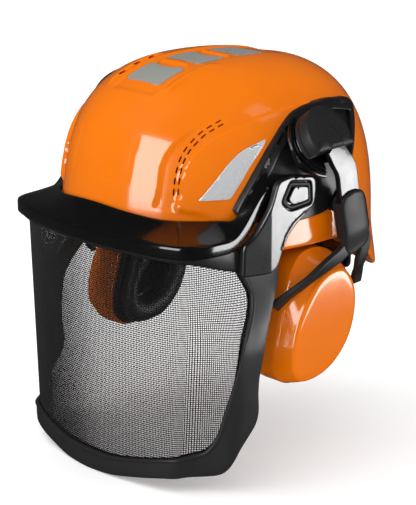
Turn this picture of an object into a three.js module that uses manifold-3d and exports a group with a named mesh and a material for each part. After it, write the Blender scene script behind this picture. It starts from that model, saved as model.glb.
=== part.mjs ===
// Child-size forestry helmet: shell, peak with mesh visor, two ear muffs and the headband inside.
// Millimetres, +Z up, the wearer faces -Y and the wearer's left is +X.
// Everything is drawn about the centre of the shell at the level of the brim, then lifted to the floor.
import * as THREE from 'three';
import { mergeVertices } from 'three/addons/utils/BufferGeometryUtils.js';
import Module from 'manifold-3d';

const wasm = await Module();
wasm.setup();

// ---------------------------------------------------------------- driving dimensions

const GAP = 0.35; // free space kept between neighbouring pieces
const SIDES = { left: 1, right: -1 };

const SHELL = { // dome about its widest level, in plan a power curve and in height another
  halfWidth: 100, halfLength: 115.5, centreY: 1.4, widest: -26, rise: 130, planPower: 2.12, risePower: 3,
  wall: 3, frontRim: -4, sideRim: -14, napeRim: -60, napeFrom: 42, napeTo: 114, flare: 5,
};
const CHANNEL = { halfWidth: 21, front: -78, back: 60, depth: 1.6 };
const PATCH_HALF_WIDTH = 18;
const PATCHES = { front: [-69, -44], middle: [-32, -7], rear: [6, 30] };
const VENT = { pairs: 8, length: 3.4, height: 1.7, rowGap: 4.6 };

const PLAN = { // plan of the peak and visor, from the middle of the front to the side
  points: [
    [0, -127], [45, -123.5], [78, -116.5], [91.5, -109], [97, -96], [98.4, -70], [99.8, -38], [99.8, -8],
  ],
};
const VISOR = {
  inset: 5, taper: 0.0006, meshThickness: 0.6, barTop: -9.6, barEnd: 150, top: -24.5, screenTop: -11,
  frameThickness: 2, screenGap: 0.8, bandDepth: 5.4,
};
const SPREAD = { // the visor's wings swing out and forward below the arms
  out: 20.8, forward: 18.7, fromAlong: 100, toAlong: 150, fromHeight: -10, toHeight: -80,
};
const BRIM = {
  rimBottom: -9, sheet: 2.6, lift: 31, frontRise: 16, sideRise: 10, clearance: 1.6, sideClearance: 7.2,
  wall: 2.4, end: 162,
};

const VISOR_PIVOT = new THREE.Vector3(102, -23, 25);
const HINGE_PIN_RADIUS = 4.1;
const ARM_INNER_X = 101.3;
const ARM_OUTER_X = 106;
const ARM_WINDOW_DEPTH = 2;
const PLATE = { rise: 5, recessFloor: 1.9, bottom: -12 };

const DISC = {
  base: new THREE.Vector3(97.6, -0.6, 52.5),
  axis: new THREE.Vector3(0.83, 0.12, 0.55).normalize(),
  baseRadius: 24, bossRadius: 20, capRadius: 21.5, capFrom: 5.4, capTo: 19.4, mouth: 9.5, pinRadius: 4.2,
};
const FLARE = { down: 6.8, out: 14.8, pinRadius: 1.3, pinLength: 27 };
const ARM = { width: 18, thickness: 4.6 };
const SLEEVE = { width: 24, thickness: 10, length: 34 };
const SLIDE_GAP = 0.4; // between the arm and the sleeve that slides on it
const FORK_THICKNESS = 4.4;

const CUP = { inner: 77.6, edge: 99, shoulder: 110, face: 113, wall: 3 };
const CUP_EDGE = [
  [4, -19], [19, -25], [30, -41], [32, -64], [25, -88], [8, -106], [-12, -112],
  [-27, -110], [-35, -101], [-35.5, -86], [-31, -66], [-24, -42], [-12, -22],
];
const CUP_FACE = [
  [8, -36], [19, -37], [27.5, -49], [28.5, -67], [21.5, -86], [6, -101], [-11, -106.5],
  [-23, -105.5], [-30, -97], [-30, -82], [-25, -65], [-15, -51], [-4, -42],
];
const CUP_PIVOT_FRONT = new THREE.Vector3(99, -32, -52);
const CUP_PIVOT_REAR = new THREE.Vector3(101.5, 36, -46);
const CUSHION = { outer: 74.2, inner: 58, margin: 3, width: 20 };

const HEADBAND = { halfWidth: 78, halfLength: 99, centreY: 1, bottom: -10, top: 14, thickness: 1.6 };
const NAPE = { halfWidth: 34, front: 90, back: 105, bottom: -68, top: -50 };
const KNOB = { radius: 13, front: 105.5, back: 111.5, lobes: 14, axleRadius: 2.8 };

const FLOOR_DROP = 176.3; // from the brim level down to the bottom of the visor
const CENTRE_SHIFT = 2.5; // from the shell's axis forward to the middle of the footprint

// ---------------------------------------------------------------- materials

function plastic(color, roughness) {
  return new THREE.MeshStandardMaterial({ color, roughness, metalness: 0 });
}
const ORANGE = plastic(0xef7d14, 0.22);
const GLOSS_BLACK = plastic(0x17181a, 0.25);
const SATIN_BLACK = plastic(0x1d1e20, 0.45);
const NYLON_BLACK = plastic(0x141414, 0.6);
const FOIL_GREY = new THREE.MeshStandardMaterial({ color: 0xa0a09b, roughness: 0.35, metalness: 0.3 });
const FOIL_SILVER = new THREE.MeshStandardMaterial({ color: 0xe6e8ea, roughness: 0.3, metalness: 0.4 });
const STEEL = new THREE.MeshStandardMaterial({ color: 0x9a9da0, roughness: 0.35, metalness: 1 });
const FOAM = plastic(0x2b2c2e, 0.95);
const LEATHERETTE = plastic(0x18191a, 0.55);
const WEBBING = plastic(0x222325, 0.85);

// ---------------------------------------------------------------- solids from three.js geometry

function v3(x, y, z) {
  return new THREE.Vector3(x, y, z);
}

/** Closed three.js geometry to a solid, with doubled points merged and empty faces dropped. */
function toSolid(geometry) {
  const bare = new THREE.BufferGeometry();
  bare.setAttribute('position', geometry.getAttribute('position'));
  bare.setIndex(geometry.index);
  const merged = mergeVertices(bare, 1e-4);
  const position = merged.getAttribute('position');
  const triangles = [];
  let volume = 0;
  const [a, b, c] = [v3(), v3(), v3()];
  for (let i = 0; i < merged.index.count; i += 3) {
    const corner = [0, 1, 2].map((k) => merged.index.getX(i + k));
    if (new Set(corner).size < 3) continue;
    triangles.push(corner);
    a.fromBufferAttribute(position, corner[0]);
    b.fromBufferAttribute(position, corner[1]);
    c.fromBufferAttribute(position, corner[2]);
    volume += a.dot(b.cross(c));
  }
  if (volume < 0) triangles.forEach((corner) => corner.reverse());
  return new wasm.Manifold(new wasm.Mesh({
    numProp: 3,
    vertProperties: Float32Array.from(position.array),
    triVerts: Uint32Array.from(triangles.flat()),
  }));
}

function toGeometry(solid) {
  const mesh = solid.getMesh();
  const geometry = new THREE.BufferGeometry();
  geometry.setAttribute('position', new THREE.BufferAttribute(mesh.vertProperties, 3));
  geometry.setIndex(new THREE.BufferAttribute(mesh.triVerts, 1));
  return geometry;
}

/** Skin over closed sections with equal point counts; a run that isn't a loop gets end faces. */
function loft(sections, isLoop = false) {
  const count = sections[0].length;
  const faces = [];
  const spans = isLoop ? sections.length : sections.length - 1;
  for (let i = 0; i < spans; i++) {
    const here = i * count;
    const next = ((i + 1) % sections.length) * count;
    for (let j = 0; j < count; j++) {
      const k = (j + 1) % count;
      faces.push(here + j, next + j, next + k, here + j, next + k, here + k);
    }
  }
  if (!isLoop) {
    faces.push(...endFace(sections[0]).flat());
    const start = (sections.length - 1) * count;
    faces.push(...endFace(sections.at(-1)).flatMap((f) => f.reverse().map((p) => p + start)));
  }
  const geometry = new THREE.BufferGeometry();
  const flat = sections.flat().flatMap((p) => [p.x, p.y, p.z]);
  geometry.setAttribute('position', new THREE.Float32BufferAttribute(flat, 3));
  geometry.setIndex(faces);
  return toSolid(geometry);
}

/** Triangles that fill a flat closed outline in space, wound the way the outline runs. */
function endFace(outline) {
  const normal = v3(0, 0, 0);
  outline.forEach((p, i) => normal.add(p.clone().cross(outline[(i + 1) % outline.length])));
  normal.normalize();
  const across = v3(0, 0, 1).cross(normal);
  if (across.lengthSq() < 1e-4) across.set(1, 0, 0);
  across.normalize();
  const along = normal.clone().cross(across);
  const flat = outline.map((p) => new THREE.Vector2(p.dot(across), p.dot(along)));
  return THREE.ShapeUtils.triangulateShape(flat, []).map(([i, j, k]) => {
    const turn = flat[j].clone().sub(flat[i]).cross(flat[k].clone().sub(flat[i]));
    return turn > 0 ? [i, j, k] : [i, k, j];
  });
}

/** Smooth open run through points. */
function smoothPath(points) {
  return new THREE.CatmullRomCurve3(points, false, 'centripetal');
}

/** Outline through [x, y] points: straight, or one smooth closed curve when steps is given. */
function outline(points, steps = 0) {
  if (!steps) return new THREE.Shape(points.map(([x, y]) => new THREE.Vector2(x, y)));
  return new THREE.Shape(smoothLoop(points, steps).map(([x, y]) => new THREE.Vector2(x, y)));
}

function smoothLoop(points, steps) {
  const curve = new THREE.CatmullRomCurve3(points.map(([x, y]) => v3(x, y, 0)), true, 'centripetal');
  return Array.from({ length: steps }, (_, i) => {
    const p = curve.getPoint(i / steps);
    return [p.x, p.y];
  });
}

function roundedBox(width, height, radius) {
  const [w, h] = [width / 2, height / 2];
  const shape = new THREE.Shape();
  shape.absarc(w - radius, h - radius, radius, 0, Math.PI / 2);
  shape.absarc(radius - w, h - radius, radius, Math.PI / 2, Math.PI);
  shape.absarc(radius - w, radius - h, radius, Math.PI, 1.5 * Math.PI);
  shape.absarc(w - radius, radius - h, radius, 1.5 * Math.PI, 2 * Math.PI);
  return shape;
}

/** Flat shape pushed from one depth to another along the third axis of a placing matrix. */
function prism(shape, from, to, place = new THREE.Matrix4(), curveSegments = 8) {
  const geometry = new THREE.ExtrudeGeometry(shape, { depth: to - from, bevelEnabled: false, curveSegments });
  geometry.translate(0, 0, from);
  geometry.applyMatrix4(place);
  return toSolid(geometry);
}

/** Solid of revolution about the third axis of a placing matrix; the profile is [radius, height]. */
function turned(profile, place, segments = 32) {
  const points = profile.map(([r, h]) => new THREE.Vector2(r, h));
  const geometry = new THREE.LatheGeometry([...points, points[0]], segments);
  geometry.rotateX(Math.PI / 2);
  geometry.applyMatrix4(place);
  return toSolid(geometry);
}

function rod(radius, from, to, place, segments = 20) {
  return turned([[0, from], [radius, from], [radius, to], [0, to]], place, segments);
}

/** Placing matrix from an origin, the direction of its first axis and of its third axis. */
function frameAt(origin, first, third) {
  const z = third.clone().normalize();
  const x = first.clone().addScaledVector(z, -first.dot(z)).normalize();
  const y = z.clone().cross(x);
  return new THREE.Matrix4().makeBasis(x, y, z).setPosition(origin);
}

const SIDE_VIEW = new THREE.Matrix4().makeBasis(v3(0, 1, 0), v3(0, 0, 1), v3(1, 0, 0)); // (y, z) along x

/** Outline in (y, z) pushed through the left side of the helmet, between two distances from its middle. */
function sidePrism(points, from = 40, to = 130) {
  return prism(outline(points), from, to, SIDE_VIEW);
}

/** The biggest closed body of a solid, without crumbs or trapped pockets. */
function largestBody(solid) {
  return solid.decompose().reduce((a, b) => (a.volume() > b.volume() ? a : b));
}

function block(from, to) {
  const shape = outline([[from[0], from[1]], [to[0], from[1]], [to[0], to[1]], [from[0], to[1]]]);
  return prism(shape, from[2], to[2]);
}

const parts = new THREE.Group();
parts.name = 'forestry_helmet';

function addPart(name, solid, material) {
  const mesh = new THREE.Mesh(toGeometry(solid), material);
  mesh.name = name;
  parts.add(mesh);
}

/** The same solid on both sides: drawn on the wearer's left and mirrored to the right. */
function addPair(name, solid, material) {
  for (const [side, sign] of Object.entries(SIDES)) {
    const geometry = toGeometry(solid).scale(sign, 1, 1);
    addPart(`${name}_${side}`, toSolid(geometry), material);
  }
}

// ---------------------------------------------------------------- shell surface

/** Distance from the shell's axis to its plan curve, in a direction, at the widest level. */
function planRadius(angle, offset) {
  const across = Math.abs(Math.cos(angle)) / (SHELL.halfWidth + offset);
  const along = Math.abs(Math.sin(angle)) / (SHELL.halfLength + offset);
  return (across ** SHELL.planPower + along ** SHELL.planPower) ** (-1 / SHELL.planPower);
}

function smoothStep(from, to, value) {
  return THREE.MathUtils.smoothstep(value, from, to);
}

/** Share of its full plan that the shell has at a height. */
function levelScale(z, offset) {
  const level = Math.max(z - SHELL.widest, 0) / (SHELL.rise + offset);
  return Math.max(0, 1 - level ** SHELL.risePower) ** (1 / SHELL.risePower);
}

/** Height of the lower rim: level at the sides, a little higher in front and deep at the nape. */
function rimHeight(y) {
  const front = (SHELL.frontRim - SHELL.sideRim) * (1 - smoothStep(-105, -70, y));
  const nape = (SHELL.napeRim - SHELL.sideRim) * smoothStep(SHELL.napeFrom, SHELL.napeTo, y);
  return SHELL.sideRim + front + nape;
}

/** Point on the shell at an angle round it and a height, pushed out by an offset. */
function shellPoint(angle, z, offset = 0) {
  const rim = rimHeight(SHELL.centreY + SHELL.halfLength * Math.sin(angle));
  const lip = SHELL.flare * smoothStep(12, 60, -z) * smoothStep(-SHELL.sideRim, -SHELL.napeRim, -rim);
  const radius = planRadius(angle, offset) * levelScale(z, offset) + lip;
  return v3(radius * Math.cos(angle), SHELL.centreY + radius * Math.sin(angle), z);
}

const DOME_TURN = 0.93 * (Math.PI / 2); // the dome's rings stop just above the brim level

const TURNS = 40; // facets round the shell, the same for every skin so that they nest
const LEVELS = 7; // facets from its crown to its widest level

/** Closed skin between two offsets of the shell surface; a low bottom replaces the rim if given. */
function shellSkin(inner, outer, bottom = null) {
  const sections = [];
  for (let i = 0; i < TURNS; i++) {
    const angle = (2 * Math.PI * i) / TURNS;
    const rim = bottom ?? rimHeight(SHELL.centreY + SHELL.halfLength * Math.sin(angle));
    const side = (offset) => {
      const dome = Array.from({ length: LEVELS + 1 }, (_, k) => {
        const turn = (DOME_TURN * k) / LEVELS;
        const z = SHELL.widest + (SHELL.rise + offset) * Math.cos(turn) ** (2 / SHELL.risePower);
        return shellPoint(angle, z, offset);
      });
      return [...dome, shellPoint(angle, rim / 2, offset), shellPoint(angle, rim, offset)];
    };
    sections.push([...side(outer), ...side(inner).reverse()]);
  }
  return loft(sections, true);
}

// ---------------------------------------------------------------- shell and what is set into it

const VENT_LINE = new THREE.CatmullRomCurve3([ // middle of the two rows of side vents
  v3(64, -89, 29), v3(63, -86, 42), v3(63, -80, 52), v3(65, -69, 61), v3(68, -55, 67),
]);
const SIDE_PLATE = [
  [60, 71], [57, 75], [30, 78.5], [6, 78], [-10, 74.5], [-21, 67.5], [-32, 57], [-46, 41], [-58, 24],
  [-63, 15], [-48, 6], [-20, 3], [12, 6], [30, 22], [48, 52],
];
const SIDE_PLATE_RECESS = [ // open at the bottom, where the visor arm passes over the plate
  [52, 67], [30, 72.5], [6, 72], [-8, 68], [-17, 61], [-28, 50], [-41, 34], [-51, 19], [-62, -5],
  [14, -5], [27, 12], [44, 50],
];
const ARM_ROOM = [ // swept by the visor arm
  [-70, -10], [-2, -10], [-2, 34], [-8, 42], [-23, 46], [-45, 42], [-70, 14],
];
const PEAK_ROOM = { // swept by the end of the peak
  outline: [[-45, 42], [-3, 42], [-3, 56], [-45, 60]],
  from: 94.3,
  to: 102,
};
const SIDE_REFLECTOR = [[-33, 61], [-52, 54.5], [-60, 48], [-82, 23], [-63, 23], [-50, 41]];

function crownBox(halfWidth, from, to, corner) {
  const [w, c] = [halfWidth, corner];
  return outline([
    [-w, from + c], [-w + c, from], [w - c, from], [w, from + c],
    [w, to - c], [w - c, to], [-w + c, to], [-w, to - c],
  ]);
}

function ventSlots() {
  const slots = [];
  const [l, h] = [VENT.length / 2, VENT.height / 2];
  const shape = outline([[-l, -h], [l, -h], [l, h], [-l, h]]);
  for (let i = 0; i < VENT.pairs; i++) {
    const at = VENT_LINE.getPointAt(i / (VENT.pairs - 1));
    const along = VENT_LINE.getTangentAt(i / (VENT.pairs - 1));
    const out = v3(0.6, -0.55, 0.45).normalize();
    for (const row of [-0.5, 0.5]) {
      const place = frameAt(at, along, out);
      place.multiply(new THREE.Matrix4().makeTranslation(0, row * VENT.rowGap, 0));
      slots.push(prism(shape, -12, 12, place));
    }
  }
  return slots;
}

function crownVents() {
  return [-66, -52, -38].map((y) => {
    const place = frameAt(v3(30, y, 84), v3(0, 1, 0.25), v3(0.35, -0.25, 0.9));
    return prism(outline([[-3, -1.2], [3, -1.2], [3, 1.2], [-3, 1.2]]), -14, 26, place);
  });
}

/** Point of the shell seen from the side at (y, z), with its outward direction. */
function shellFoot(y, z) {
  const across = (at, level) => {
    const scale = levelScale(level, 0);
    const along = Math.abs((at - SHELL.centreY) / (SHELL.halfLength * scale)) ** SHELL.planPower;
    return SHELL.halfWidth * scale * (1 - along) ** (1 / SHELL.planPower);
  };
  const out = v3(2, across(y - 1, z) - across(y + 1, z), across(y, z - 1) - across(y, z + 1));
  return frameAt(v3(across(y, z), y, z), v3(0, 1, 0), out);
}

const SCREWS = { front: shellFoot(-45, 24), rear: shellFoot(38, 60) };
const HINGE = frameAt(v3(0, VISOR_PIVOT.y, VISOR_PIVOT.z), v3(0, 1, 0), v3(1, 0, 0));

function hingeBore() {
  return rod(HINGE_PIN_RADIUS + 0.4, 80, 112, HINGE);
}

/** Holes of one side, right through shell and side plate. */
function sideHoles(radius) {
  const screws = Object.values(SCREWS).map((place) => rod(radius, -14, 1.8, place, 12));
  return [hingeBore(), ...screws];
}

function cutBothSides(solid, cutters) {
  for (const cutter of cutters) {
    solid = solid.subtract(cutter).subtract(toSolid(toGeometry(cutter).scale(-1, 1, 1)));
  }
  return solid;
}

function outerShell() {
  let shell = shellSkin(-SHELL.wall, 0);
  const channel = prism(crownBox(CHANNEL.halfWidth, CHANNEL.front, CHANNEL.back, 5), 40, 120);
  shell = shell.subtract(channel.intersect(shellSkin(-CHANNEL.depth, 6, 20)));
  return cutBothSides(shell, [...ventSlots(), ...crownVents(), ...sideHoles(2.2)]);
}

function crownPatch([from, to]) {
  const area = prism(crownBox(PATCH_HALF_WIDTH, from, to, 4), 40, 120);
  return area.intersect(shellSkin(GAP - CHANNEL.depth, GAP + 0.5 - CHANNEL.depth, 20));
}

function sideReflector() {
  return sidePrism(SIDE_REFLECTOR).intersect(shellSkin(GAP, 1, -10));
}

function discFrame() {
  return frameAt(DISC.base, v3(0, 0, -1), DISC.axis);
}

function discPoint(down, across, out) {
  return v3(down, across, out).applyMatrix4(discFrame());
}

/** Housing on the shell's side that carries the muff pivot and the visor hinge. */
function sidePlate() {
  const area = sidePrism(SIDE_PLATE);
  const recess = sidePrism(SIDE_PLATE_RECESS);
  let plate = area.intersect(shellSkin(GAP, PLATE.rise, PLATE.bottom));
  plate = plate.subtract(recess.intersect(shellSkin(PLATE.recessFloor, 2 * PLATE.rise, PLATE.bottom - 2)));
  const boss = rod(DISC.bossRadius, -12, -GAP, discFrame(), 28);
  plate = plate.add(boss.subtract(shellSkin(-60, GAP, PLATE.bottom)));
  plate = plate.subtract(sidePrism(ARM_ROOM, ARM_INNER_X - GAP));
  plate = plate.subtract(sidePrism(PEAK_ROOM.outline, PEAK_ROOM.from, PEAK_ROOM.to));
  for (const hole of sideHoles(2.2)) plate = plate.subtract(hole);
  plate = plate.subtract(rod(DISC.baseRadius + 0.6, -GAP, 14, discFrame()));
  return largestBody(plate.subtract(rod(DISC.pinRadius + 0.5, -14, 1, discFrame())));
}

/** Pan-head screw put in from inside the shell. */
function plateScrew(place) {
  const underHead = -SHELL.wall - 5 * GAP;
  const top = underHead - 1.8;
  const [shank, end] = [1.8, 1.4];
  return turned([
    [0, top], [2.8, top], [3.4, underHead], [shank, underHead], [shank, end], [0, end],
  ], place, 12);
}

// ---------------------------------------------------------------- muff carrier: pivot, arm, sleeve

function pivotBase() {
  const r = DISC.baseRadius;
  const bore = DISC.pinRadius + 0.4;
  const base = turned([
    [bore, 0], [r, 0], [r, 3.2], [r - 1.4, 3.6], [r - 1.4, 4.4], [r - 2, 5], [bore, 5],
  ], discFrame(), 28);
  const relief = outline([[15, -4], [15, 26], [30, 26], [30, -4]]);
  return base.subtract(prism(relief, -1, 6, discFrame()));
}

function pivotPin() {
  return rod(DISC.pinRadius, -2, 9.5, discFrame());
}

/** Horseshoe housing: round above, cut straight below, with the slot that the arm turns in. */
function pivotCap() {
  const r = DISC.capRadius;
  const shape = new THREE.Shape();
  const half = Math.sqrt(r * r - DISC.mouth ** 2);
  shape.absarc(0, 0, r, Math.atan2(half, DISC.mouth), Math.atan2(-half, DISC.mouth) + 2 * Math.PI);
  const rim = (scale, out) => shape.getPoints(12).map((p) => (
    discPoint(Math.min(p.x, DISC.mouth) * scale, p.y * scale, out)));
  let cap = loft([
    rim(1, DISC.capFrom), rim(1, DISC.capTo - 2), rim(0.97, DISC.capTo - 0.7), rim(0.91, DISC.capTo),
  ]);
  cap = cap.subtract(rod(DISC.pinRadius + 0.35, 0, 9.9, discFrame()));
  const slot = outline([[3.4, -10.2], [14, -10.2], [14, 13], [3.4, 10]]);
  cap = cap.subtract(prism(slot, 9.7, 18.2, discFrame()));
  return cap.subtract(rod(FLARE.pinRadius + 0.2, -20, 20, flareFrame(), 12));
}

/** Frame of the flare hinge: its third axis runs along the pin. */
function flareFrame() {
  const origin = discPoint(FLARE.down, 0, FLARE.out);
  const along = v3(0, 1, 0).transformDirection(discFrame());
  return frameAt(origin, DISC.axis, along);
}

function flarePin() {
  return rod(FLARE.pinRadius, -FLARE.pinLength / 2, FLARE.pinLength / 2, flareFrame(), 12);
}

const ARM_TOP = v3(114.6, 16.3, 22.6); // middle of the arm where the sleeve's top edge sits at rest
const ARM_DOWN = v3(0, 10, -46).normalize();

/** Frame of the sleeve: first axis down the arm, third axis away from the head. */
function sleeveFrame() {
  return frameAt(ARM_TOP, ARM_DOWN, v3(1, 0, 0));
}

function muffArm() {
  const knee = ARM_TOP.clone().addScaledVector(ARM_DOWN, -15);
  const end = ARM_TOP.clone().addScaledVector(ARM_DOWN, 30);
  const start = discPoint(FLARE.down, 0, FLARE.out);
  const path = smoothPath([start, start.clone().lerp(knee, 0.5), knee, ARM_TOP.clone()]);
  const sideways = v3(0, 1, 0).transformDirection(sleeveFrame());
  const across = v3(0, 1, 0).transformDirection(discFrame());
  const section = (at, direction, wide) => {
    const out = wide.clone().cross(direction).normalize();
    const corner = (s, t) => at.clone().addScaledVector(wide, (s * ARM.width) / 2)
      .addScaledVector(out, (t * ARM.thickness) / 2);
    return [corner(-1, -1), corner(1, -1), corner(1, 1), corner(-1, 1)];
  };
  const sections = [];
  for (let i = 0; i <= 6; i++) {
    const wide = across.clone().lerp(sideways, Math.min(1, i / 4)).normalize();
    sections.push(section(path.getPoint(i / 6), path.getTangent(i / 6), wide));
  }
  sections.push(section(end, ARM_DOWN, sideways));
  const bar = loft(sections);
  const eye = rod(ARM.thickness / 2, -ARM.width / 2, ARM.width / 2, flareFrame(), 20);
  return bar.add(eye).subtract(rod(FLARE.pinRadius + 0.25, -20, 20, flareFrame(), 12));
}

const FORK_WEB = [[31, -12], [31, 12], [42, 13], [46, 8], [47, -8], [42, -13]]; // along and across the sleeve

/** Sleeve that slides on the arm, with the two fork branches that hold the cup. */
function muffSleeve() {
  const place = sleeveFrame();
  const { width, thickness, length } = SLEEVE;
  const shape = new THREE.Shape();
  shape.moveTo(length, -width / 2);
  shape.lineTo(length, width / 2);
  shape.lineTo(9, width / 2);
  shape.bezierCurveTo(2, width / 2, 0, 6, 0, 0);
  shape.bezierCurveTo(0, -6, 2, -width / 2, 9, -width / 2);
  let sleeve = prism(shape, -thickness / 2, thickness / 2, place, 6);
  const half = ARM.width / 2 + SLIDE_GAP;
  const bore = outline([[-2, -half], [length - 1, -half], [length - 1, half], [-2, half]]);
  const front = branch([
    sleeveStop(length - 3, -6, 0, 11), sleeveStop(length + 3, -10, -0.5, 10),
    forkStop(114.5, -5, -28, 9, 15), forkStop(110.5, -18, -37, 8.5, 35),
    forkStop(104, -29, -46, 8.5, 30), forkStop(100, -37.5, -53, 8.5, 10),
  ]);
  const rear = branch([
    sleeveStop(length - 3, 6, 0, 11), sleeveStop(length + 4, 9, -0.5, 10),
    forkStop(112, 32.5, -31, 9), forkStop(105, 37.5, -41, 8.5), forkStop(102.5, 38.5, -49, 8.5),
  ]);
  const web = prism(outline(FORK_WEB), -FORK_THICKNESS / 2, FORK_THICKNESS / 2, place);
  sleeve = sleeve.add(front).add(rear).add(web);
  const depth = ARM.thickness / 2 + SLIDE_GAP;
  sleeve = sleeve.subtract(prism(bore, -depth, depth, place));
  return sleeve.subtract(rod(1.9, -70, 70, cupPivotFrame(), 12));
}

/** Stop along a fork branch: its middle, its width and how many degrees its lower edge leans out. */
function forkStop(x, y, z, width, lean = 0) {
  return { at: v3(x, y, z), width, lean };
}

/** Stop given along the sleeve's own axes. */
function sleeveStop(down, across, out, width) {
  return { at: v3(down, across, out).applyMatrix4(sleeveFrame()), width, lean: 0 };
}

/** Flat strip through a run of stops, its broad face turned away from the head. */
function branch(stops) {
  const path = smoothPath(stops.map((stop) => stop.at));
  const last = stops.length - 1;
  const sections = [];
  for (let i = 0; i <= 2 * last; i++) {
    const t = i / (2 * last);
    const direction = path.getTangent(t);
    const [before, after] = [stops[Math.floor(i / 2)], stops[Math.ceil(i / 2)]];
    const lean = THREE.MathUtils.degToRad((before.lean + after.lean) / 2);
    const wide = v3(1, 0, 0).cross(direction).normalize().applyAxisAngle(direction, -lean);
    const out = direction.clone().cross(wide).normalize();
    const halfWidth = (before.width + after.width) / 4;
    const corner = (s, d) => path.getPoint(t).addScaledVector(wide, s * halfWidth)
      .addScaledVector(out, (d * FORK_THICKNESS) / 2);
    sections.push([corner(-1, -1), corner(1, -1), corner(1, 1), corner(-1, 1)]);
  }
  return loft(sections);
}

function cupPivotFrame() {
  const along = CUP_PIVOT_REAR.clone().sub(CUP_PIVOT_FRONT);
  return frameAt(CUP_PIVOT_FRONT.clone().lerp(CUP_PIVOT_REAR, 0.5), v3(0, 0, 1), along);
}

// ---------------------------------------------------------------- ear muff

function cupRing(x, points, shrink = 0) {
  const centre = [-6, -62];
  return points.map(([y, z]) => {
    const away = new THREE.Vector2(y - centre[0], z - centre[1]);
    away.setLength(Math.max(1, away.length() - shrink));
    return v3(x, centre[0] + away.x, centre[1] + away.y);
  });
}

function blendLoops(a, b, share) {
  return a.map(([y, z], i) => [y + (b[i][0] - y) * share, z + (b[i][1] - z) * share]);
}

const EDGE = smoothLoop(CUP_EDGE, 28);
const FACE = smoothLoop(CUP_FACE, 28);

function earCup() {
  const { inner, edge, shoulder, face, wall } = CUP;
  const outer = loft([
    cupRing(inner, EDGE, 1.5), cupRing(inner + 2, EDGE), cupRing(edge, EDGE),
    cupRing(shoulder, blendLoops(EDGE, FACE, 0.78)), cupRing(face, FACE),
  ]);
  const hollow = loft([
    cupRing(inner - 1, EDGE, 4), cupRing(edge - 1, EDGE, wall + 1),
    cupRing(shoulder - wall, blendLoops(EDGE, FACE, 0.78), wall),
  ]);
  return outer.subtract(hollow).subtract(rod(1.7, -70, 70, cupPivotFrame(), 12));
}

function cupPin(sign) {
  const reach = CUP_PIVOT_FRONT.distanceTo(CUP_PIVOT_REAR) / 2;
  const [from, to] = [sign * (reach - 3), sign * (reach + 5)];
  return rod(1.5, Math.min(from, to), Math.max(from, to), cupPivotFrame(), 12);
}

function cupBackPlate() {
  const x = CUP.inner - GAP;
  const plate = loft([cupRing(x - 2.6, EDGE, 2), cupRing(x, EDGE, 2)]);
  return plate.subtract(loft([cupRing(x - 4, EDGE, 24), cupRing(x + 1, EDGE, 24)]));
}

function earFoam() {
  return loft([cupRing(CUP.inner + GAP, EDGE, 9), cupRing(CUP.edge, EDGE, 10)]);
}

function earCushion() {
  const sections = EDGE.map(([y, z]) => {
    const ring = [[0, 0], [0.7, -0.1], [1, 0.3], [1, 0.7], [0.7, 1.1], [0, 1]];
    return ring.map(([rise, share]) => {
      const x = CUSHION.outer - rise * (CUSHION.outer - CUSHION.inner);
      return cupRing(x, [[y, z]], CUSHION.margin + share * CUSHION.width)[0];
    });
  });
  return loft(sections, true);
}

// ---------------------------------------------------------------- peak and visor

/** Plan curve of the peak: length along it from the middle of the front to a point and its normal. */
function planCurve() {
  const half = PLAN.points.map(([x, y]) => v3(x, y, 0));
  const other = half.slice(1).reverse().map((p) => v3(-p.x, p.y, 0));
  return new THREE.CatmullRomCurve3([...other, ...half], false, 'centripetal');
}
const CURVE = planCurve();
CURVE.arcLengthDivisions = 600;
const CURVE_LENGTH = CURVE.getLength();

/** Point of the visor's wall before any inset: its wings stand wider and further forward low down. */
function visorWall(along, z) {
  const at = CURVE.getPointAt(THREE.MathUtils.clamp(0.5 + along / CURVE_LENGTH, 0, 1));
  const spread = smoothStep(SPREAD.fromAlong, SPREAD.toAlong, Math.abs(along))
    * smoothStep(-SPREAD.fromHeight, -SPREAD.toHeight, -z);
  const x = at.x * (1 + VISOR.taper * Math.min(0, z)) + Math.sign(along) * SPREAD.out * spread;
  return v3(x, at.y - SPREAD.forward * spread, z);
}

/** Point on the visor: length along the plan curve, height, and distance inward from its face. */
function visorPoint(along, z, inward = 0) {
  const tangent = visorWall(along + 1, z).sub(visorWall(along - 1, z)).normalize();
  return visorWall(along, z).addScaledVector(v3(-tangent.y, tangent.x, 0), inward + VISOR.inset);
}

function stations(from, to, count) {
  return Array.from({ length: count }, (_, i) => from + ((to - from) * i) / (count - 1));
}

/** Lift of the peak towards the temple, where it rises to the hinge. */
function peakLift(y) {
  return BRIM.lift * smoothStep(-80, -42, y) ** 1.3;
}

function brim() {
  const sections = stations(-BRIM.end, BRIM.end, 45).map((along) => {
    const t = THREE.MathUtils.clamp(0.5 + along / CURVE_LENGTH, 0, 1);
    const at = CURVE.getPointAt(t);
    const tangent = CURVE.getTangentAt(t);
    const inward = v3(-tangent.y, tangent.x, 0);
    const lift = peakLift(at.y);
    const angle = Math.atan2(at.y - SHELL.centreY, at.x);
    const side = smoothStep(0, 80, Math.abs(at.x));
    const rise = THREE.MathUtils.lerp(BRIM.frontRise, BRIM.sideRise, side) + lift;
    const room = THREE.MathUtils.lerp(BRIM.clearance, BRIM.sideClearance, smoothStep(-84, -70, at.y));
    const inner = shellPoint(angle, rise, room);
    const depth = inner.clone().setZ(0).sub(at).dot(inward);
    inner.addScaledVector(inward, Math.max(0, BRIM.wall + 0.6 - depth));
    const bottom = BRIM.rimBottom + 0.8 * lift;
    const rim = (depth, z) => v3(at.x, at.y, z).addScaledVector(inward, depth);
    const low = inner.clone();
    low.z -= BRIM.sheet;
    return [
      rim(0, bottom), rim(0, lift - 1.5), rim(1.2, lift), inner, low,
      rim(BRIM.wall, lift - 3.2), rim(BRIM.wall, bottom),
    ];
  });
  return loft(sections);
}

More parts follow.
